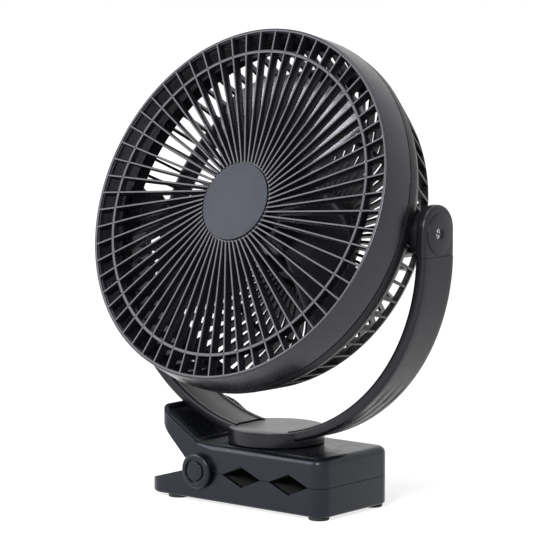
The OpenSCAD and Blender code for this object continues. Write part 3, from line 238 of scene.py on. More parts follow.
def turned(profile, turns=120, closed=True):
    """Surface of revolution: each profile point (r, h) goes round as (r cos a, r sin a, h) for a from 0 to
    360."""
    a = np.linspace(0, 2 * np.pi, turns, endpoint=False)
    r, h = np.asarray(profile, float).T
    points = np.stack([np.outer(np.cos(a), r), np.outer(np.sin(a), r), np.tile(h, (turns, 1))], -1)
    return points.reshape(-1, 3), [weave(turns, len(r), True, closed)]


def capped(rings):
    """Tube through rings of points, rings[station, place], closed at both ends by its first and last
    ring."""
    stations, n, _ = rings.shape
    ends = [np.arange(n)[None, ::-1], (stations - 1) * n + np.arange(n)[None]]
    return rings.reshape(-1, 3), [weave(stations, n, False, True)] + ends


def rounded(corners, steps=4):
    """Outline from corners (x, y, cut). Each corner P is bridged between P1 and P2, which lie its cut away
    along its two edges, or MOST_CUT of the edge where that is less, by the parabola
    (1-s)^2 P1 + 2s(1-s) P + s^2 P2 for s from 0 to 1."""
    corners = np.asarray(corners, float)
    p, cut = corners[:, :2], corners[:, 2]

    def toward(q):
        """The point on each corner's edge to q that lies its cut away."""
        d = q - p
        far = np.linalg.norm(d, axis=1)
        return p + d * (np.minimum(cut, MOST_CUT * far) / far)[:, None]

    p1, p2 = toward(np.roll(p, 1, 0)), toward(np.roll(p, -1, 0))
    s = np.linspace(0, 1, steps)[None, :, None]
    bridges = (1 - s) ** 2 * p1[:, None] + 2 * s * (1 - s) * p[:, None] + s ** 2 * p2[:, None]
    return bridges.reshape(-1, 2)


def oblong(x0, x1, y0, y1, cut, steps=3):
    """Rectangle from (x0, y0) to (x1, y1) with the same cut at its four corners."""
    return rounded([(x0, y0, cut), (x1, y0, cut), (x1, y1, cut), (x0, y1, cut)], steps)


def inset(outline, d):
    """Outline moved inwards by d: each point goes along (n1 + n2) / (1 + n1 . n2) of its two edge
    normals."""
    e = np.roll(outline, -1, 0) - outline
    n = np.stack([-e[:, 1], e[:, 0]], 1) / np.linalg.norm(e, axis=1)[:, None]
    before = np.roll(n, 1, 0)
    return outline + d * (n + before) / (1 + (n * before).sum(1))[:, None]


def slab(outline, levels):
    """Plate on a plan outline: for each level (height, d) a ring, the outline moved in by d at that
    height."""
    rings = [np.column_stack([inset(outline, d), np.full(len(outline), height)]) for height, d in levels]
    return capped(np.stack(rings))


def block(low, high, bevel=0.2):
    """Box from low to high whose upright and lying edges are cut back by bevel."""
    (x0, y0, z0), (x1, y1, z1) = low, high
    plan = oblong(x0, x1, y0, y1, bevel, 2)
    return slab(plan, [(z0, bevel / 2), (z0 + bevel, 0), (z1 - bevel, 0), (z1, bevel / 2)])


def repeated(part, count, step, start=0.0):
    """The part again at each angle start + k step about the head's axis, as (x cos - y sin, x sin + y
    cos)."""
    points, faces = part
    a = np.radians(start + step * np.arange(count))[:, None]
    x, y, h = points.T
    c, s = np.cos(a), np.sin(a)
    copies = np.stack([x * c - y * s, x * s + y * c, np.tile(h, (count, 1))], -1)
    shift = len(points) * np.arange(count)[:, None, None]
    return copies.reshape(-1, 3), [(f[None] + shift).reshape(-1, f.shape[1]) for f in faces]


def moved(part, change):
    """The part with its points put through change(x, y, z), which returns the three new coordinates."""
    return np.stack(change(*part[0].T), -1), part[1]


def head(part):
    """Head frame to fan frame: x = u, y = v sin t - w cos t, z = pivot + v cos t + w sin t, for the rest
    tilt t."""
    s, c = np.sin(TILT), np.cos(TILT)
    return moved(part, lambda u, v, w: (u, v * s - w * c, PIVOT_Z + v * c + w * s))


def along_x(part, side=1):
    """Turns a part from the local Z axis onto the X axis: (x, y, z) goes to (side z, x, y)."""
    return moved(part, lambda x, y, z: (side * z, x, y))


def along_hinge(part, side=1):
    """Turns a part from the local Z axis onto the hinge's axis: (x, y, z) goes to (hinge + x, side z, hinge
    + y)."""
    return moved(part, lambda x, y, z: (HINGE_X + x, side * z, HINGE_Z + y))


def welded(points, faces):
    """Joins points that lie together and drops the corners that collapse, so that seams and poles are
    closed."""
    key = np.round(points / WELD).astype(np.int64)
    _, first, back = np.unique(key, axis=0, return_index=True, return_inverse=True)
    kept = []
    for f in faces:
        g = back.ravel()[f]
        live = g != np.roll(g, 1, axis=1)
        count = live.sum(1)
        kept += [g[count == n][live[count == n]].reshape(-1, n) for n in np.unique(count) if n > 2]
    return points[first], kept


def outward(points, faces):
    """Faces of a closed part turned outwards: over its triangles, the sum of a . (b x c) has to be
    positive."""
    total = 0.0
    for f in faces:
        for k in range(1, f.shape[1] - 1):
            total += (points[f[:, 0]] * np.cross(points[f[:, k]], points[f[:, k + 1]])).sum()
    return faces if total > 0 else [f[:, ::-1] for f in faces]


def piece(name, body, finish, parts, stands_for, crease=38.0):
    """One object from closed parts, riding on a body and shown for the CAD nodes in stands_for. Edges
    sharper than crease degrees stay sharp."""
    coords, loops, counts, base = [], [], [], 0
    for points, faces in parts:
        points, faces = welded(points, faces)
        for f in outward(points, faces):
            loops.append(f.ravel() + base)
            counts.append(np.full(len(f), f.shape[1]))
        coords.append(points)
        base += len(points)
    coords, loops, counts = np.concatenate(coords) * MM, np.concatenate(loops), np.concatenate(counts)
    mesh = bpy.data.meshes.new(name)
    mesh.vertices.add(len(coords))
    mesh.vertices.foreach_set("co", coords.ravel())
    mesh.loops.add(len(loops))
    mesh.loops.foreach_set("vertex_index", loops)
    mesh.polygons.add(len(counts))
    mesh.polygons.foreach_set("loop_start", np.concatenate([[0], np.cumsum(counts)[:-1]]))
    mesh.polygons.foreach_set("use_smooth", np.ones(len(counts), bool))
    mesh.update(calc_edges=True)
    mesh.validate()
    mesh.set_sharp_from_angle(angle=np.radians(crease))
    mesh.materials.append(finish)
    obj = bpy.data.objects.new(name, mesh)
    bpy.context.scene.collection.objects.link(obj)
    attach(obj, body)
    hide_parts(*stands_for)


# ---------- finishes ----------

def new_node(tree, kind, **inputs):
    """A new node with values set on its inputs, whose names are written with _ for a space."""
    node = tree.nodes.new(kind)
    for socket, value in inputs.items():
        node.inputs[socket.replace("_", " ")].default_value = value
    return node


class Finish:
    """A new material with its Principled shader, and short ways to add and join nodes."""

    def __init__(self, name, colour, rough, **sockets):
        self.material = bpy.data.materials.new(name)
        self.material.use_nodes = True
        self.tree = self.material.node_tree
        self.shader = self.tree.nodes["Principled BSDF"]
        self.colour = colour
        self.rough = rough
        self.shader.inputs["Base Color"].default_value = (*colour, 1)
        self.shader.inputs["Roughness"].default_value = rough
        for socket, value in sockets.items():
            self.shader.inputs[socket.replace("_", " ")].default_value = value
        self.coords = self.add("ShaderNodeTexCoord").outputs["Object"]

    def add(self, kind, **inputs):
        """A new node in the material's own tree."""
        return new_node(self.tree, kind, **inputs)

    def join(self, a, b):
        """Link from output a to input b."""
        self.tree.links.new(a, b)

    def stretched(self, scale):
        """Object coordinates times scale, one number for each axis."""
        node = self.add("ShaderNodeMapping", Scale=scale)
        self.join(self.coords, node.inputs["Vector"])
        return node.outputs["Vector"]

    def noise(self, scale, detail, coords=None):
        """Cloudy noise from 0 to 1, mostly near 0.5."""
        node = self.add("ShaderNodeTexNoise", Scale=scale, Detail=detail)
        self.join(coords or self.coords, node.inputs["Vector"])
        return node.outputs["Fac"]

    def tones(self, value, low, high, start=0.3, end=0.7):
        """Colour between the finish's colour times low and times high, as value goes from start to end."""
        node = self.add("ShaderNodeValToRGB")
        for element, place, k in zip(node.color_ramp.elements, (start, end), (low, high)):
            element.position = place
            element.color = (*[min(1, c * k) for c in self.colour], 1)
        self.join(value, node.inputs["Fac"])
        self.join(node.outputs["Color"], self.shader.inputs["Base Color"])

    def roughness(self, value, spread):
        """Roughness from the finish's own less spread to its own plus spread, as value goes from 0.3 to
        0.7."""
        node = self.add("ShaderNodeMapRange", From_Min=0.3, From_Max=0.7, To_Min=self.rough - spread,
                        To_Max=self.rough + spread)
        self.join(value, node.inputs["Value"])
        self.join(node.outputs["Result"], self.shader.inputs["Roughness"])

    def bump(self, value, depth):
        """Relief whose height in metres is value times depth."""
        node = self.add("ShaderNodeBump", Distance=depth, Strength=1.0)
        self.join(value, node.inputs["Height"])
        self.join(node.outputs["Normal"], self.shader.inputs["Normal"])


COOL = (0.80, 0.86, 1.0, 1.0)
LAVENDER = (0.92, 0.90, 1.0, 1.0)


def moulded(name, colour, rough, grain=2600, depth=0.00004, cloud=0.10, patchy=0.04, gloss=0.42, tint=COOL,
            **sockets):
    """Moulded plastic: fine eroded grain in the bump, and slow clouds in tone and roughness."""
    f = Finish(name, colour, rough, Specular_IOR_Level=gloss, Specular_Tint=tint, **sockets)
    f.tones(f.noise(34, 4), 1 - cloud, 1 + cloud)
    f.roughness(f.noise(160, 2), patchy)
    f.bump(f.noise(grain, 1), depth)
    return f.material


def streaked(name, colour, rough, scale):
    """Drawn plastic strip: long fine streaks that run with the strip."""
    f = Finish(name, colour, rough)
    streaks = f.noise(1.0, 4, f.stretched(scale))
    f.tones(streaks, 0.8, 1.22)
    f.roughness(streaks, 0.08)
    f.bump(streaks, 0.00006)
    return f.material


def metal(name, colour, rough, scale=(900, 900, 60)):
    """Turned or drawn metal: fine streaks in tone and roughness."""
    f = Finish(name, colour, rough, Metallic=1.0)
    streaks = f.noise(1.0, 3, f.stretched(scale))
    f.tones(streaks, 0.85, 1.08)
    f.roughness(streaks, 0.08)
    f.bump(streaks, 0.00001)
    return f.material


def rubber(name, colour, rough):
    """Soft rubber: matt, with a fine pitted skin and dusty patches."""
    f = Finish(name, colour, rough)
    f.tones(f.noise(70, 4), 0.75, 1.4)
    f.roughness(f.noise(300, 2), 0.06)
    f.bump(f.noise(1800, 2), 0.00008)
    return f.material


def circuit(name, colour):
    """Circuit board: lacquer over a faint raster of tracks."""
    red, green, blue = colour
    f = Finish(name, colour, 0.35)
    tracks = f.add("ShaderNodeTexBrick", Scale=180, Color1=(*colour, 1), Mortar=(0.10, 0.22, 0.08, 1),
                   Color2=(red * 0.7, green * 0.8, blue * 0.7, 1), Mortar_Size=0.03)
    f.join(f.coords, tracks.inputs["Vector"])
    f.join(tracks.outputs["Color"], f.shader.inputs["Base Color"])
    f.bump(tracks.outputs["Fac"], 0.00004)
    return f.material


def windings(name, colour):
    """Enamelled copper wire: fine bands round the rotor."""
    f = Finish(name, colour, 0.35, Metallic=1.0)
    wave = f.add("ShaderNodeTexWave", Scale=900, Distortion=1.0)
    f.join(f.coords, wave.inputs["Vector"])
    f.tones(wave.outputs["Fac"], 0.6, 1.1, 0.2, 0.8)
    f.bump(wave.outputs["Fac"], 0.0001)
    return f.material


def foil_wrap(name, colour):
    """Wrapped cell: crinkled foil with soft sheen."""
    f = Finish(name, colour, 0.38, Metallic=0.8)
    crinkles = f.noise(220, 5)
    f.tones(crinkles, 0.8, 1.1)
    f.roughness(crinkles, 0.1)
    f.bump(crinkles, 0.0003)
    return f.material


shell = moulded("shell_plastic", (0.0080, 0.0083, 0.0105), 0.30, gloss=0.36, tint=LAVENDER)
clamp_finish = moulded("clamp_plastic", (0.0055, 0.0065, 0.0100), 0.28, depth=0.000012, gloss=0.38)
cage_front = moulded("cage_front_plastic", (0.0095, 0.0100, 0.0130), 0.27, depth=0.00002, gloss=0.58,
                     tint=LAVENDER)
cage_rear = moulded("cage_rear_plastic", (0.0070, 0.0072, 0.0088), 0.38, gloss=0.3, tint=LAVENDER)
dark = moulded("dark_plastic", (0.008, 0.0083, 0.0098), 0.5)
badge = moulded("badge_plastic", (0.0110, 0.0120, 0.0165), 0.42, grain=1500, depth=0.00006, cloud=0.14,
                patchy=0.02)
cover_light = moulded("cover_plastic", (0.020, 0.021, 0.022), 0.28, depth=0.00001, cloud=0.05, patchy=0.01)
liner = streaked("liner_plastic", (0.022, 0.021, 0.025), 0.34, (25, 1500, 25))
blade_finish = moulded("blade_plastic", (0.0090, 0.0092, 0.0130), 0.26, depth=0.000003, cloud=0.06,
                       patchy=0.01, gloss=0.85, tint=LAVENDER)
button_finish = moulded("button_plastic", (0.32, 0.32, 0.33), 0.45)
pad_rubber = rubber("pad_rubber", (0.012, 0.012, 0.013), 0.8)
foot_rubber = rubber("foot_rubber", (0.018, 0.018, 0.020), 0.75)
foam = rubber("battery_foam", (0.03, 0.03, 0.032), 0.95)
lead_sheath = rubber("lead_sheath", (0.02, 0.02, 0.022), 0.6)
steel = metal("screw_steel", (0.62, 0.63, 0.65), 0.28)
spring_wire = metal("spring_wire", (0.45, 0.46, 0.48), 0.35)
brass = metal("bush_brass", (0.72, 0.55, 0.25), 0.3)
can_steel = metal("can_steel", (0.55, 0.56, 0.58), 0.35, (60, 60, 900))
board = circuit("board_lacquer", (0.03, 0.16, 0.07))
wire = windings("rotor_copper", (0.75, 0.35, 0.16))
foil = foil_wrap("battery_foil", (0.62, 0.64, 0.66))
ferrite = moulded("magnet_ferrite", (0.035, 0.034, 0.036), 0.6, grain=1200, depth=0.0001)
lens = moulded("lens_plastic", (0.75, 0.82, 0.95), 0.2, depth=0.00001, Transmission_Weight=0.3)

# CAD nodes that keep their own mesh, by finish
node_finishes = [
    (dark, ["lower_grip_plate", "upper_grip_plate", "motor_housing", "tact_switch"]),
    (shell, ["rear_cover"]),
    (pad_rubber, ["lower_jaw_pad", "upper_jaw_pad", "friction_disc"]),
    (foam, ["battery_foam"]),
    (lead_sheath, ["yoke_lead"]),
    (steel, ["lower_plate_screws", "upper_plate_screws", "cover_screws_rear", "motor_screws", "tilt_screws",
             "tilt_washers", "hinge_pin", "swivel_bolt", "swivel_washer", "swivel_nut", "motor_shaft",
             "impeller_nut", "charging_port"]),
    (spring_wire, ["spring_lower_half", "spring_upper_half"]),
    (brass, ["swivel_bush", "tilt_bush_left", "tilt_bush_right", "front_bearing", "rear_bearing",
             "trunnion_inserts"]),
    (can_steel, ["motor_can"]),
    (board, ["protection_board", "control_board"]),
    (wire, ["motor_leads", "rotor_core"]),
    (foil, ["battery_pack"]),
    (ferrite, ["motor_magnets"]),
    (lens, ["indicator_lenses"]),
]
for finish, node_names in node_finishes:
    for node_name in node_names:
        nodes[node_name].data.materials.clear()
        nodes[node_name].data.materials.append(finish)


# ---------- front grille ----------

def rib():
    """One rib: a bar of rectangular section with cut front edges, beside the ray of the first rib. Its
    point at radius r and across that ray is (sqrt(r^2 - across^2), across), turned by the ray's angle."""
    side, front = RIB_HALF - RIB_BEVEL, FACE_W - RIB_BEVEL_W
    across, w = np.array([(-RIB_HALF, RIB_BACK_W), (RIB_HALF, RIB_BACK_W), (RIB_HALF, front), (side, FACE_W),
                          (-side, FACE_W), (-RIB_HALF, front)]).T
    across = RIB_OFFSET + across
    ray = np.radians(RIB_START)
    rings = []
    for r in (RIB_INNER_R, FACE_R - LIP + RIB_SUNK):
        along = np.sqrt(r * r - across * across)
        rings.append(np.stack([along * np.cos(ray) - across * np.sin(ray),
                               along * np.sin(ray) + across * np.cos(ray), w], -1))
    return capped(np.stack(rings))


def front_rim():
    """Rim of the front grille, turned: lip with two bevels, tapered side, groove and the spigot behind
    it."""
    return turned(rounded([
        (FACE_R - LIP, FACE_W, 0.35), (FACE_R, FACE_W, 1.0), (RIM_R, SPLIT_W + SPLIT_GAP, 0.35),
        (GROOVE_R, SPLIT_W + SPLIT_GAP, 0.1), (GROOVE_R, SPLIT_W, 0), (SPIGOT_R, SPLIT_W, 0),
        (SPIGOT_R, SPIGOT_W, 0.2), (SPIGOT_INNER_R, SPIGOT_W, 0.2), (SPIGOT_INNER_R, 22, 0.5),
        (RIM_INNER_R, 36.4, 0.3), (RIM_INNER_R, 38.6, 0.3), (FACE_R - LIP, LIP_BACK_W, 0.1)]), RIM_TURNS)


ring = turned(rounded([
    (RING_R - RING_HALF, RIB_BACK_W, 0.1), (RING_R + RING_HALF, RIB_BACK_W, 0.1),
    (RING_R + RING_HALF, FACE_W, 0.4), (RING_R - RING_HALF, FACE_W, 0.4)], 3), RIM_TURNS)
centre_plate = turned([
    (0, RIB_BACK_W), (PLATE_R, RIB_BACK_W), (PLATE_R, PLATE_FACE_W), (PLATE_SEAT_R, PLATE_FACE_W),
    (PLATE_SEAT_R, BADGE_SEAT_W), (0, BADGE_SEAT_W)], closed=False)
latch = block((105.2, -LATCH_HALF, 17.5), (107.2, LATCH_HALF, 22.2))
front_parts = [repeated(rib(), RIB_COUNT, RIB_STEP), front_rim(), ring, centre_plate,
               repeated(latch, LATCH_COUNT, LATCH_STEP, LATCH_START)]
piece("front_grille_shell", "head", cage_front, [head(part) for part in front_parts],
      ["front_grille"])

badge_disc = turned(rounded([
    (0, BADGE_SEAT_W, 0), (BADGE_R, BADGE_SEAT_W, 0.2), (BADGE_R, BADGE_FACE_W, 0.5),
    (0, BADGE_FACE_W, 0)], 5), closed=False)
piece("hub_badge_disc", "head", badge, [head(badge_disc)], ["hub_badge"])


# ---------- rear grille ----------

def rear_bar():
    """One bar of the rear cage: a thin strip between an outer and an inner line, with cut outer edges."""
    outer = rounded([(RIM_END_R, RIM_END_W, 0), (98, -12, 5), (94.8, -17, 4), (MID_RING_R, BACK_W, 9),
                     (BAR_END_R, BACK_W, 0)], 5)
    inner = rounded([(103, RIM_END_W, 0), (93.2, -9.6, 4), (91, -13.2, 3), (61.4, BAR_INNER_W, 8),
                     (BAR_END_R, BAR_INNER_W, 0)], 5)
    cut = outer + BAR_BEVEL * (inner - outer) / np.linalg.norm(inner - outer, axis=1)[:, None]
    lines = [(inner, -BAR_HALF), (cut, -BAR_HALF), (outer, -BAR_EDGE_HALF),
             (outer, BAR_EDGE_HALF), (cut, BAR_HALF), (inner, BAR_HALF)]
    rings = np.stack([np.column_stack([p[:, 0], np.full(len(p), y), p[:, 1]]) for p, y in lines], 1)
    # corners without a round come out as points that lie together, of which one is enough
    apart = np.linalg.norm(np.diff(outer, axis=0), axis=1) > TINY
    return capped(rings[np.r_[True, apart]])


rear_rim = turned(rounded([
    (RIM_R, SPLIT_W, 0.3), (RIM_END_R, RIM_END_W, 0.5), (104.6, 8, 0.5), (RIM_INNER_R, 8, 0.3),
    (105.3, 14.8, 0.2), (105.3, SPLIT_W, 0.1)], 3), RIM_TURNS)
shoulder_ring = turned(rounded([
    (98.2, -11.4, 0.5), (95.0, -17.0, 2.5), (90.6, -20.1, 0.5), (89.2, -17.6, 0.4), (92.6, -14.2, 1),
    (95.6, -10.2, 0.4)]), 180)
mid_ring = turned(oblong(MID_RING_R, MID_RING_INNER_R, BACK_W, BACK_INNER_W, 0.5), 160)
plate_ring = turned(oblong(BACK_PLATE_R, BACK_PLATE_HOLE_R, BACK_W, BACK_INNER_W, 0.3))
trunnion = turned(rounded([
    (0, TRUNNION_START_X, 0), (TRUNNION_R, TRUNNION_START_X, 0.5), (TRUNNION_R, TRUNNION_END_X, 0.6),
    (TRUNNION_BORE_R, TRUNNION_END_X, 0.2), (TRUNNION_BORE_R, TRUNNION_BORE_X, 0), (0, TRUNNION_BORE_X, 0)]),
    72, False)
rear_parts = [repeated(rear_bar(), RIB_COUNT, RIB_STEP, BAR_START), shoulder_ring, mid_ring, plate_ring,
              rear_rim, along_x(trunnion), along_x(trunnion, -1)]
piece("rear_grille_shell", "head", cage_rear, [head(part) for part in rear_parts],
      ["rear_grille"])


# ---------- impeller ----------

def blade_reach(a):
    """Reach of a blade's plan at angle a from its middle line. The plan is the hull of its circles, so its
    support is h(n) = max(c cos(n - b) + R) over circles of radius R at distance c and angle b, and the
    reach is the least of h(n) / cos(n - a) over all directions n."""
    corner_at = BLADE_R - CORNER_R
    corner_b = np.arcsin(CORNER_R / corner_at) - np.radians(LEAD_ANGLE)
    n = np.radians(np.arange(-180, 180, 0.5))[:, None]
    circles = [(corner_at, corner_b, CORNER_R), (LOBE_AT, np.radians(LOBE_TRAIL), LOBE_R), (0, 0, SHAFT_R)]
    support = np.max([c * np.cos(n - b) + radius for c, b, radius in circles], axis=0)
    facing = np.cos(n - a.ravel())
    reach = np.where(facing > LEAST_FACING, support / np.maximum(facing, LEAST_FACING), FAR).min(0)
    return reach.reshape(a.shape)


def blade(middle, rows=61, cols=21):
    """One blade: w = middle height + slope y + camber y^2 over its plan, with y across the middle line.
    Each side is off that sheet by its half thickness, which falls to 0 at the outline as sqrt(1 - s^12)
    sqrt(1 - q^14), where s runs from -1 at the leading edge to 1 at the trailing edge and q from 0 at the
    hub to 1 at the outline."""
    s = np.linspace(-1, 1, rows)[:, None]
    q = np.linspace(0, 1, cols)[None, :]
    a = np.radians(np.where(s < 0, LEAD_ANGLE - LEAD_BACK, TRAIL_ANGLE) * s)
    root = HUB_R - ROOT_SUNK
    r = root + q * (np.maximum(blade_reach(a), HUB_R + LEAST_REACH) - root)
    across = r * np.sin(a)
    w = BLADE_MID_W + BLADE_SLOPE * across + BLADE_CAMBER * across ** 2
    thinned = np.sqrt(np.clip(1 - np.abs(s) ** 12, 0, 1) * np.clip(1 - q ** 14, 0, 1))
    thick = (BLADE_TIP_T + BLADE_ROOT_T * (1 - q)) * thinned
    turn = np.radians(middle)
    x, y = r * np.cos(a + turn), r * np.sin(a + turn)
    sheets = [np.stack([x, y, w + k * thick], -1).reshape(-1, 3) for k in (1, -1)]
    count = rows * cols
    at_hub = np.arange(rows) * cols
    wall = np.stack([at_hub[:-1], at_hub[1:], at_hub[1:] + count, at_hub[:-1] + count], -1)
    return np.concatenate(sheets), [weave(rows, cols), weave(rows, cols)[:, ::-1] + count, wall]


impeller_hub = turned(rounded([
    (SHAFT_R, HUB_FRONT_W, 0), (HUB_R, HUB_FRONT_W, 3), (HUB_R, HUB_BACK_W, 0.3),
    (HUB_R - HUB_WALL, HUB_BACK_W, 0.3), (HUB_R - HUB_WALL, HUB_FRONT_W - HUB_WALL, 1),
    (BOSS_R, HUB_FRONT_W - HUB_WALL, 0), (BOSS_R, HUB_BACK_W, 0.2), (SHAFT_R, HUB_BACK_W, 0)], 5))
piece("impeller_blades", "impeller", blade_finish,
      [head(blade(a)) for a in BLADE_DIRECTIONS] + [head(impeller_hub)], ["impeller"])


# ---------- rear controls ----------

button = turned(rounded([
    (0, BUTTON_MIDDLE_W, 0), (5.2, BUTTON_FACE_W, 0.5), (BUTTON_R, BUTTON_FACE_W, 0.6),
    (BUTTON_R, FLANGE_W, 0), (FLANGE_R, FLANGE_W, 0.1), (FLANGE_R, FLANGE_INNER_W, 0.1),
    (STEM_R, FLANGE_INNER_W, 0), (STEM_R, STEM_W, 0.2), (0, STEM_W, 0)]), 72, False)
piece("power_button_cap", "power_button", button_finish, [head(button)], ["power_button"])


# ---------- yoke ----------

def yoke_section(steps=5):
    """Section of the band in radius and width: round long edges, and a channel inside for the liner.
    Returns the radii with the channel and without it, the places across, and each point's part in the outer
    face's grooves."""
    channel_r = YOKE_RI + CHANNEL_D
    outline = rounded([
        (YOKE_RI, YOKE_HALF, 2), (YOKE_RO, YOKE_HALF, 2), (YOKE_RO, -YOKE_HALF, 2), (YOKE_RI, -YOKE_HALF, 2),
        (YOKE_RI, -CHANNEL_HALF, 0.35), (channel_r, -CHANNEL_HALF, 0), (channel_r, CHANNEL_HALF, 0),
        (YOKE_RI, CHANNEL_HALF, 0.35)], steps)
    face = [(YOKE_RO, middle + k * GROOVE_HALF) for middle in GROOVE_YS for k in (1, 0, -1)]
    in_groove = [1 - abs(k) for middle in GROOVE_YS for k in (1, 0, -1)]
    # the outer face's points follow the outline's first two corners
    ahead = 2 * steps
    deep, y = np.concatenate([outline[:ahead], face, outline[ahead:]]).T
    near_channel = (np.abs(y) < CHANNEL_HALF + 0.4) & (deep < channel_r + 0.1)
    flat = np.where(near_channel, YOKE_RI, deep)
    return deep, flat, y, np.concatenate([np.zeros(ahead), in_groove, np.zeros(len(outline) - ahead)])


def both_arms(values):
    """Values at the right arm's stations, and again back up the left arm, which is its mirror image."""
    return np.concatenate([values, values[-2::-1]])[:, None]


def yoke_band(top=14):
    """Band swept along a U: x = r sin a, z = centre - r cos a + rise + |y| sin t, y' = y cos t, where a
    runs round the curve, rise up each arm, and t rounds the arm's top."""
    a = np.concatenate([
        np.full(top + 2, 90), [SEAM_ANGLE + STEP, SEAM_ANGLE], np.linspace(86, COVER_ANGLE, 60),
        [COVER_ANGLE - STEP], np.linspace(COVER_ANGLE - 0.5, 0, 8)])
    below = len(a) - top
    t = np.radians(np.concatenate([np.linspace(90, 0, top), np.zeros(below)]))
    rise = np.concatenate([np.full(top, ARM_RISE), [ARM_RISE / 2], np.zeros(below - 1)])
    covered = a < COVER_ANGLE
    channel = fade(a, *CHANNEL_FADE) * ~covered
    grooves = GROOVE_D * fade(a, *GROOVE_TOP_FADE) * fade(a, *GROOVE_ROOT_FADE)
    deep, flat, y, in_groove = yoke_section()
    r = flat + (deep - flat) * both_arms(channel) - in_groove * both_arms(grooves)
    r = np.where(both_arms(a > SEAM_ANGLE), np.minimum(r, CAP_SEAT_X), r)
    turn = np.radians(np.concatenate([a, -a[-2::-1]]))[:, None]
    r = np.where(both_arms(covered), np.maximum(r, (YOKE_CZ - COVER_SEAT_Z) / np.cos(turn)), r)
    points = np.stack([r * np.sin(turn), y * np.cos(both_arms(t)),
                       YOKE_CZ - r * np.cos(turn) + both_arms(rise) + np.abs(y) * np.sin(both_arms(t))], -1)
    return points.reshape(-1, 3), [weave(*r.shape, False, True)]


yoke_hub = turned(rounded([
    (0, HUB_BASE_Z, 0), (HUB_WALL_R, HUB_BASE_Z, 0.8), (HUB_WALL_R, HUB_WALL_Z, 0.12),
    (HUB_SEAT_R, HUB_WALL_Z, 0.05), (HUB_SEAT_R, COVER_SEAT_Z, 0), (0, COVER_SEAT_Z, 0)]), 160, False)
piece("yoke_band", "yoke", shell, [yoke_band(), yoke_hub], ["yoke_frame"])


def liner_strip(side, stations=70):
    """Strip that follows the yoke's inner face: the section goes round at x = r sin a, z = centre - r cos
    a."""
    r, y = oblong(LINER_RI, LINER_RO, LINER_HALF, -LINER_HALF, 0.35).T
    a = np.radians(np.linspace(*LINER_ANGLES, stations))[:, None]
    return capped(np.stack([side * r * np.sin(a), np.tile(y, (stations, 1)), YOKE_CZ - r * np.cos(a)], -1))


for side, word in ARMS:
    piece(f"yoke_liner_strip_{word}", "yoke", liner, [liner_strip(side)],
          [f"yoke_liner_{word}"])


def cover_outline():
    """Plan of the hub cover: a circle with a straight-sided bay at each end for the arms."""
    edge = np.degrees(np.arcsin(COVER_BAY_HALF / COVER_R))
    runs = []
    for side, start, end in ((-1, edge, 180 - edge), (1, 180 + edge, 360 - edge)):
        a = np.radians(np.linspace(start, end, 40))
        x, y = side * COVER_BAY_X, side * COVER_BAY_HALF
        runs += [COVER_R * np.column_stack([np.cos(a), np.sin(a)]), [(x, -y), (x, y)]]
    return np.concatenate(runs)


hub_cover = slab(cover_outline(), [(COVER_SEAT_Z, 0), (44.8, 0), (45.08, 0.12), (HUB_TOP_Z, 0.45)])
piece("hub_cover_disc", "yoke", cover_light, [hub_cover], ["hub_cover"])


def arm_cap():
    """Cap of an arm, in rings about the tilt axis: hole, raised disc, skin and rounded edge out to the
    outline min(R / |cos p|, drop / |sin p|) below its middle and R above it, each ring at its own depth x.
    The outline's middle lies above the tilt axis by its rise."""
    corner = np.arctan2(-CAP_DROP, YOKE_HALF)
    p = np.sort(np.concatenate([np.linspace(-np.pi, np.pi, 144, endpoint=False), [corner, -np.pi - corner]]))

    def outline(off):
        """Outline whose sides and round top are moved in by off."""
        low = np.minimum((YOKE_HALF - off) / np.maximum(np.abs(np.cos(p)), TINY),
                         CAP_DROP / np.maximum(np.abs(np.sin(p)), TINY))
        return np.where(np.sin(p) < 0, low, YOKE_HALF - off)

    disc = [(CAP_HOLE_R, CAP_SEAT_X), (CAP_HOLE_R, CAP_FACE_X - 0.6), (3.8, CAP_FACE_X), (11.0, CAP_FACE_X),
            (11.35, CAP_FACE_X - 0.1), (CAP_DISC_R, CAP_FACE_X - 0.3), (CAP_DISC_R, CAP_SKIN_X)]
    rings = [(np.full(len(p), r), x, 0) for r, x in disc]
    rings += [(outline(CAP_ROUND * (1 - np.cos(b))), CAP_SKIN_X - CAP_ROUND * (1 - np.sin(b)), CAP_RISE)
              for b in np.radians(np.linspace(90, 0, 7))]
    points = np.stack([np.column_stack([np.full(len(p), x), r * np.cos(p), PIVOT_Z + up + r * np.sin(p)])
                       for r, x, up in rings])
    return points.reshape(-1, 3), [weave(len(rings), len(p), True, True)]


for side, word in ARMS:
    cap = moved(arm_cap(), lambda x, y, z: (side * x, y, z))
    piece(f"arm_cap_shell_{word}", "yoke", shell, [cap], [f"arm_cap_{word}"])


# ---------- clamp ----------

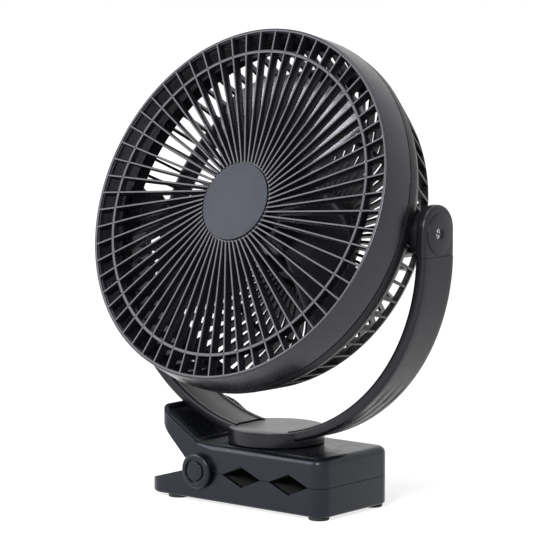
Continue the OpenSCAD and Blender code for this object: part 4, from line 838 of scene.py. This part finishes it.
class JawPlan:
    """Plan of a jaw as one ring of points: two long sides with points at xs, and four round corners. A ring
    moved in by d has its points at centre + (radius - d) direction."""

    def __init__(self, back, xs, bend=9):
        self.sides, self.bend = len(xs), bend
        mouth, lever = MOUTH_X - MOUTH_ROUND, LEVER_ROUND - back
        quarter = np.linspace(0, 90, bend)
        x, y, self.radius, turn = np.concatenate([
            self.run(xs, -1, MOUTH_ROUND, -90), self.run(mouth, -1, MOUTH_ROUND, quarter - 90),
            self.run(mouth, 1, MOUTH_ROUND, quarter), self.run(xs[::-1], 1, MOUTH_ROUND, 90),
            self.run(lever, 1, LEVER_ROUND, quarter + 90),
            self.run(lever, -1, LEVER_ROUND, quarter + 180)]).T
        self.centre = np.column_stack([x, y])
        self.out = np.column_stack([np.cos(turn), np.sin(turn)])

    @staticmethod
    def run(x, side, radius, turn):
        """Rows (centre x, centre y, radius, direction) of some points, whose x or direction may be one for
        all."""
        x, turn = np.broadcast_arrays(x, turn)
        y = side * (CLAMP_HALF - radius)
        return np.column_stack([x, np.full(x.shape, y), np.full(x.shape, radius), np.radians(turn)])

    def ring(self, d):
        """Points of the ring moved in by d, with one d for each point."""
        return self.centre + self.out * (self.radius - d)[:, None]

    def lid(self, base):
        """Faces that close a ring: strips from side to side between the long sides, and one face at each
        end."""
        n, b = self.sides, self.bend
        i = np.arange(n - 1)
        far = 2 * n + 2 * b - 1
        strips = np.stack([i, i + 1, far - i - 1, far - i], -1)
        mouth = np.arange(n - 1, n + 2 * b + 1)[None]
        lever = np.r_[np.arange(far, 2 * n + 4 * b), 0][None]
        return [strips + base, mouth + base, lever + base]


def level(value):
    """The function of x that has this value everywhere."""
    return lambda x: np.full(x.shape, float(value))


def jaw_shell(plan, inner, rim, outer):
    """Shell of a jaw from rings, each with its inset and its height as functions of x: the inner skin, in
    by the wall, up to its rim, then the rings of the outer skin. A lid closes it at both ends."""
    rings = []
    for off, height in [(level(JAW_WALL), inner), (level(JAW_WALL), rim), (level(0), rim)] + outer:
        xy = plan.ring(off(plan.ring(0)[:, 0]))
        rings.append(np.column_stack([xy, height(xy[:, 0])]))
    n = len(plan.radius)
    lids = [f[:, ::-1] for f in plan.lid(0)] + plan.lid((len(rings) - 1) * n)
    return np.concatenate(rings), [weave(len(rings), n, False, True)] + lids


def round_edge(size, height, sign, steps=6):
    """Rings of a round edge: moved in by size (1 - cos b) and short of the face by size (1 - sin b), for b
    from 0 to 90. The face is an upper one for sign 1 and a lower one for sign -1."""
    def ring_at(b):
        """Inset and height of the ring at angle b."""
        return (lambda x: size(x) * (1 - np.cos(b)),
                lambda x: height(x) - sign * size(x) * (1 - np.sin(b)))

    return [ring_at(b) for b in np.radians(np.linspace(0, 90, steps))]


def side_xs(places, r):
    """Where a long side has points: at these places, round the hinge at radius r, and at the grip
    notches."""
    hinge = HINGE_X + r * np.cos(np.radians(np.linspace(180, 0, 25)))
    notches = [c + NOTCH_HALF * np.linspace(-1, 1, 5) for c in NOTCH_XS]
    return np.unique(np.round(np.concatenate([places, hinge] + notches), 4))


def notched(x):
    """Depth of the two grip notches at x: a V of NOTCH_D at the middle of each, 0 outside them."""
    return sum(NOTCH_D * np.clip(1 - np.abs(x - c) / NOTCH_HALF, 0, 1) for c in NOTCH_XS)


def circle_below(x, r):
    """Lower half of the hinge circle at x, and far above everything outside it."""
    inside = r * r - (x - HINGE_X) ** 2
    return np.where(inside >= 0, HINGE_Z - np.sqrt(np.maximum(inside, 0)), FAR)


def upper_top(x):
    """Top of the upper jaw: level, and rising along the lever from its root."""
    return CLAMP_TOP_Z + LEVER_SLOPE * np.maximum(LEVER_ROOT_X - x, 0)


def lever_under(x):
    """Line of the upper lever's underside, which rises backwards."""
    return UNDER_Z + UNDER_SLOPE * (UNDER_X - x)


def upper_rim(x):
    """Lower edge of the upper jaw: mouth, lug round the hinge, and the lever's underside behind LUG_END_X,
    which leaves out the lug's last millimetres, so that the open lever stays clear of the lower jaw."""
    edge = np.where(x > UNDER_X, UPPER_EDGE_Z + notched(x), lever_under(x))
    return np.where(x < LUG_END_X, edge, np.minimum(edge, circle_below(x, LUG_R)))


def upper_inside(x):
    """Ceiling of the upper jaw's hollow: flat over the mouth, round over the hinge, none inside the
    lever."""
    bay = HINGE_Z + np.sqrt(np.maximum(BAY_R ** 2 - (x - HINGE_X) ** 2, 0))
    behind = np.where(x > BAY_END_X, np.maximum(bay, lever_under(x)), lever_under(x))
    return np.where(x >= UNDER_X, CLAMP_TOP_Z - JAW_WALL, behind)


def upper_edge(x):
    """Size of the upper jaw's round top edge: large over the mouth, small along the lever."""
    return LEVER_EDGE + (MOUTH_EDGE - LEVER_EDGE) * fade(x, *EDGE_FADE)


def past_edge(extra):
    """Inset of a ring that lies further in than the upper jaw's round edge by extra."""
    return lambda x: upper_edge(x) + extra


def trough(x):
    """Top of the upper jaw with the shallow trough along its lever."""
    return upper_top(x) - TROUGH_D * fade(x, *TROUGH_FADE)


upper_plan = JawPlan(UPPER_LEVER, side_xs([
    -55.5, -50, -46, -43, LUG_END_X - STEP, LUG_END_X, BAY_END_X, -39, TROUGH_FADE[0], UNDER_X - STEP,
    UNDER_X, LEVER_ROOT_X, -24, 20, 25, 52], LUG_R))
upper_shell = jaw_shell(upper_plan, upper_inside, upper_rim, round_edge(upper_edge, upper_top, 1) + [
    (past_edge(0.9), upper_top), (past_edge(1.7), trough)])
piece("upper_jaw_shell", "upper_jaw", clamp_finish, [upper_shell], ["upper_jaw"], 30)


def ramp(x):
    """Line of the lower lever's top, which falls backwards to its tip."""
    return RAMP_TIP_Z + RAMP_SLOPE * (x + LOWER_LEVER)


def lower_rim(x):
    """Upper edge of the lower jaw: mouth, ramp along the lever, and the bay round the hinge."""
    edge = np.where(x > RAMP_X, LOWER_EDGE_Z - notched(x), ramp(x))
    return np.minimum(edge, circle_below(x, BAY_R))


def lower_inside(x):
    """Floor of the lower jaw's hollow, and none inside the lever."""
    return np.where(x >= RAMP_SOLID_X, FLOOR_Z, ramp(x))


lower_plan = JawPlan(LOWER_LEVER, side_xs([
    -63.6, -55, -48, RAMP_SOLID_X - STEP, RAMP_SOLID_X, RAMP_X, -18, 20, 52], BAY_R))
lower_shell = jaw_shell(lower_plan, lower_inside, lower_rim,
                        round_edge(level(UNDER_EDGE), level(FOOT_H), -1))
ear = turned([(PIN_R, EAR_YS[0]), (EAR_R, EAR_YS[0]), (EAR_R, EAR_YS[1]), (PIN_R, EAR_YS[1])], 64)
web = block((HINGE_X - WEB_HALF, EAR_YS[0], FLOOR_Z - 0.5), (HINGE_X + WEB_HALF, EAR_YS[1], HINGE_Z - 3))
ears = [along_hinge(ear), along_hinge(ear, -1), web, moved(web, lambda x, y, z: (x, -y, z))]
piece("lower_jaw_shell", "root", clamp_finish, [lower_shell] + ears, ["lower_jaw"], 30)

hinge_cap = turned(rounded([
    (0, 37.1, 0), (5.6, 37.1, 0.5), (5.9, 35.6, 0.2), (7.2, 35.6, 0.2), (7.3, 36.9, 0.3), (9.5, 36.9, 0.9),
    (10.6, 35.8, 0.8), (10.6, 32.5, 0.2), (0, 32.5, 0)]), 96, False)
for side, word in ((-1, "front"), (1, "rear")):
    piece(f"hinge_cap_disc_{word}", "root", clamp_finish, [along_hinge(hinge_cap, side)],
          [f"hinge_cap_{word}"])

foot = turned(rounded([(0, 0, 0), (FOOT_R, 0, 0.6), (FOOT_R, FOOT_H, 0.1), (0, FOOT_H, 0)], 5), 64, False)
feet = [moved(foot, lambda x, y, z: (x + foot_x, y + foot_y, z)) for foot_x in FOOT_XS for foot_y in FOOT_YS]
piece("rubber_feet_discs", "root", foot_rubber, feet, ["rubber_feet"])


# ---------- stage, lights and camera ----------

def seen_or_mirrored(tree):
    """1 for rays from the camera, a mirror or glass, 0 for rays that light the object."""
    rays = new_node(tree, "ShaderNodeLightPath")
    total = rays.outputs["Is Camera Ray"]
    for name in ("Is Glossy Ray", "Is Transmission Ray"):
        step = new_node(tree, "ShaderNodeMath")
        step.operation = "MAXIMUM"
        tree.links.new(total, step.inputs[0])
        tree.links.new(rays.outputs[name], step.inputs[1])
        total = step.outputs[0]
    return total


def make_world(ambient):
    """White background to look at, and a plain grey light from all round."""
    world = bpy.data.worlds.new("studio")
    bpy.context.scene.world = world
    world.use_nodes = True
    tree = world.node_tree
    light = tree.nodes["Background"]
    light.inputs["Color"].default_value = WHITE
    light.inputs["Strength"].default_value = ambient
    white = new_node(tree, "ShaderNodeBackground", Color=WHITE, Strength=1.0)
    mix = new_node(tree, "ShaderNodeMixShader")
    tree.links.new(seen_or_mirrored(tree), mix.inputs[0])
    tree.links.new(light.outputs[0], mix.inputs[1])
    tree.links.new(white.outputs[0], mix.inputs[2])
    tree.links.new(mix.outputs[0], tree.nodes["World Output"].inputs["Surface"])


def make_floor(bounce, glow, half=12.0):
    """Plain floor: a sheet that takes the shadow, glowing by glow near the object and by 1 far from it, so
    that it runs into the background. It lights the object from below only by bounce."""
    mesh = bpy.data.meshes.new("floor")
    corners = [(-half, -half, 0), (half, -half, 0), (half, half, 0), (-half, half, 0)]
    mesh.from_pydata(corners, [], [(0, 1, 2, 3)])
    obj = bpy.data.objects.new("floor", mesh)
    bpy.context.scene.collection.objects.link(obj)
    mat = bpy.data.materials.new("floor_sheet")
    mat.use_nodes = True
    tree = mat.node_tree
    tree.nodes.remove(tree.nodes["Principled BSDF"])
    paper = new_node(tree, "ShaderNodeBsdfDiffuse", Color=(0.5, 0.5, 0.5, 1))
    dim = new_node(tree, "ShaderNodeBsdfDiffuse", Color=(bounce, bounce, bounce, 1))
    coords = new_node(tree, "ShaderNodeTexCoord")
    away = new_node(tree, "ShaderNodeVectorMath")
    away.operation = "LENGTH"
    strength = new_node(tree, "ShaderNodeMapRange", From_Min=0.4, From_Max=2.5, To_Min=glow, To_Max=1.0)
    light = new_node(tree, "ShaderNodeEmission")
    seen = new_node(tree, "ShaderNodeAddShader")
    mix = new_node(tree, "ShaderNodeMixShader")
    for a, b in ((coords.outputs["Object"], away.inputs[0]),
                 (away.outputs["Value"], strength.inputs["Value"]),
                 (strength.outputs["Result"], light.inputs["Strength"]),
                 (paper.outputs[0], seen.inputs[0]), (light.outputs[0], seen.inputs[1]),
                 (seen_or_mirrored(tree), mix.inputs[0]),
                 (dim.outputs[0], mix.inputs[1]), (seen.outputs[0], mix.inputs[2]),
                 (mix.outputs[0], tree.nodes["Material Output"].inputs["Surface"])):
        tree.links.new(a, b)
    mesh.materials.append(mat)


def softbox(name, place, aim, size, watts):
    """Rectangular area lamp at place, turned to aim."""
    lamp = bpy.data.lights.new(name, "AREA")
    lamp.shape = "RECTANGLE"
    lamp.size, lamp.size_y = size
    lamp.energy = watts
    obj = bpy.data.objects.new(name, lamp)
    obj.location = place
    obj.rotation_euler = (Vector(aim) - Vector(place)).to_track_quat("-Z", "Y").to_euler()
    bpy.context.scene.collection.objects.link(obj)


make_world(0.25)
make_floor(0.25, 0.78)
softbox("top_box", (-0.1, -0.3, 1.5), (0, 0, 0.15), (0.9, 0.9), 6)
softbox("left_box", (-0.95, -1.05, 0.75), (0, 0, 0.16), (0.8, 1.0), 11)
softbox("front_box", (0.43, -1.32, 0.90), (0, 0, 0.17), (0.5, 0.5), 17)

toward_camera = Vector((np.sin(AZIMUTH) * np.cos(ELEVATION), -np.cos(AZIMUTH) * np.cos(ELEVATION),
                        np.sin(ELEVATION)))
lens_data = bpy.data.cameras.new("camera")
lens_data.sensor_width = SENSOR_MM
lens_data.lens = LENS_MM
camera = bpy.data.objects.new("camera", lens_data)
camera.location = TARGET + toward_camera * DISTANCE
camera.rotation_euler = toward_camera.to_track_quat("Z", "Y").to_euler()
bpy.context.scene.collection.objects.link(camera)
bpy.context.scene.camera = camera
bpy.context.scene.view_settings.view_transform = "Standard"
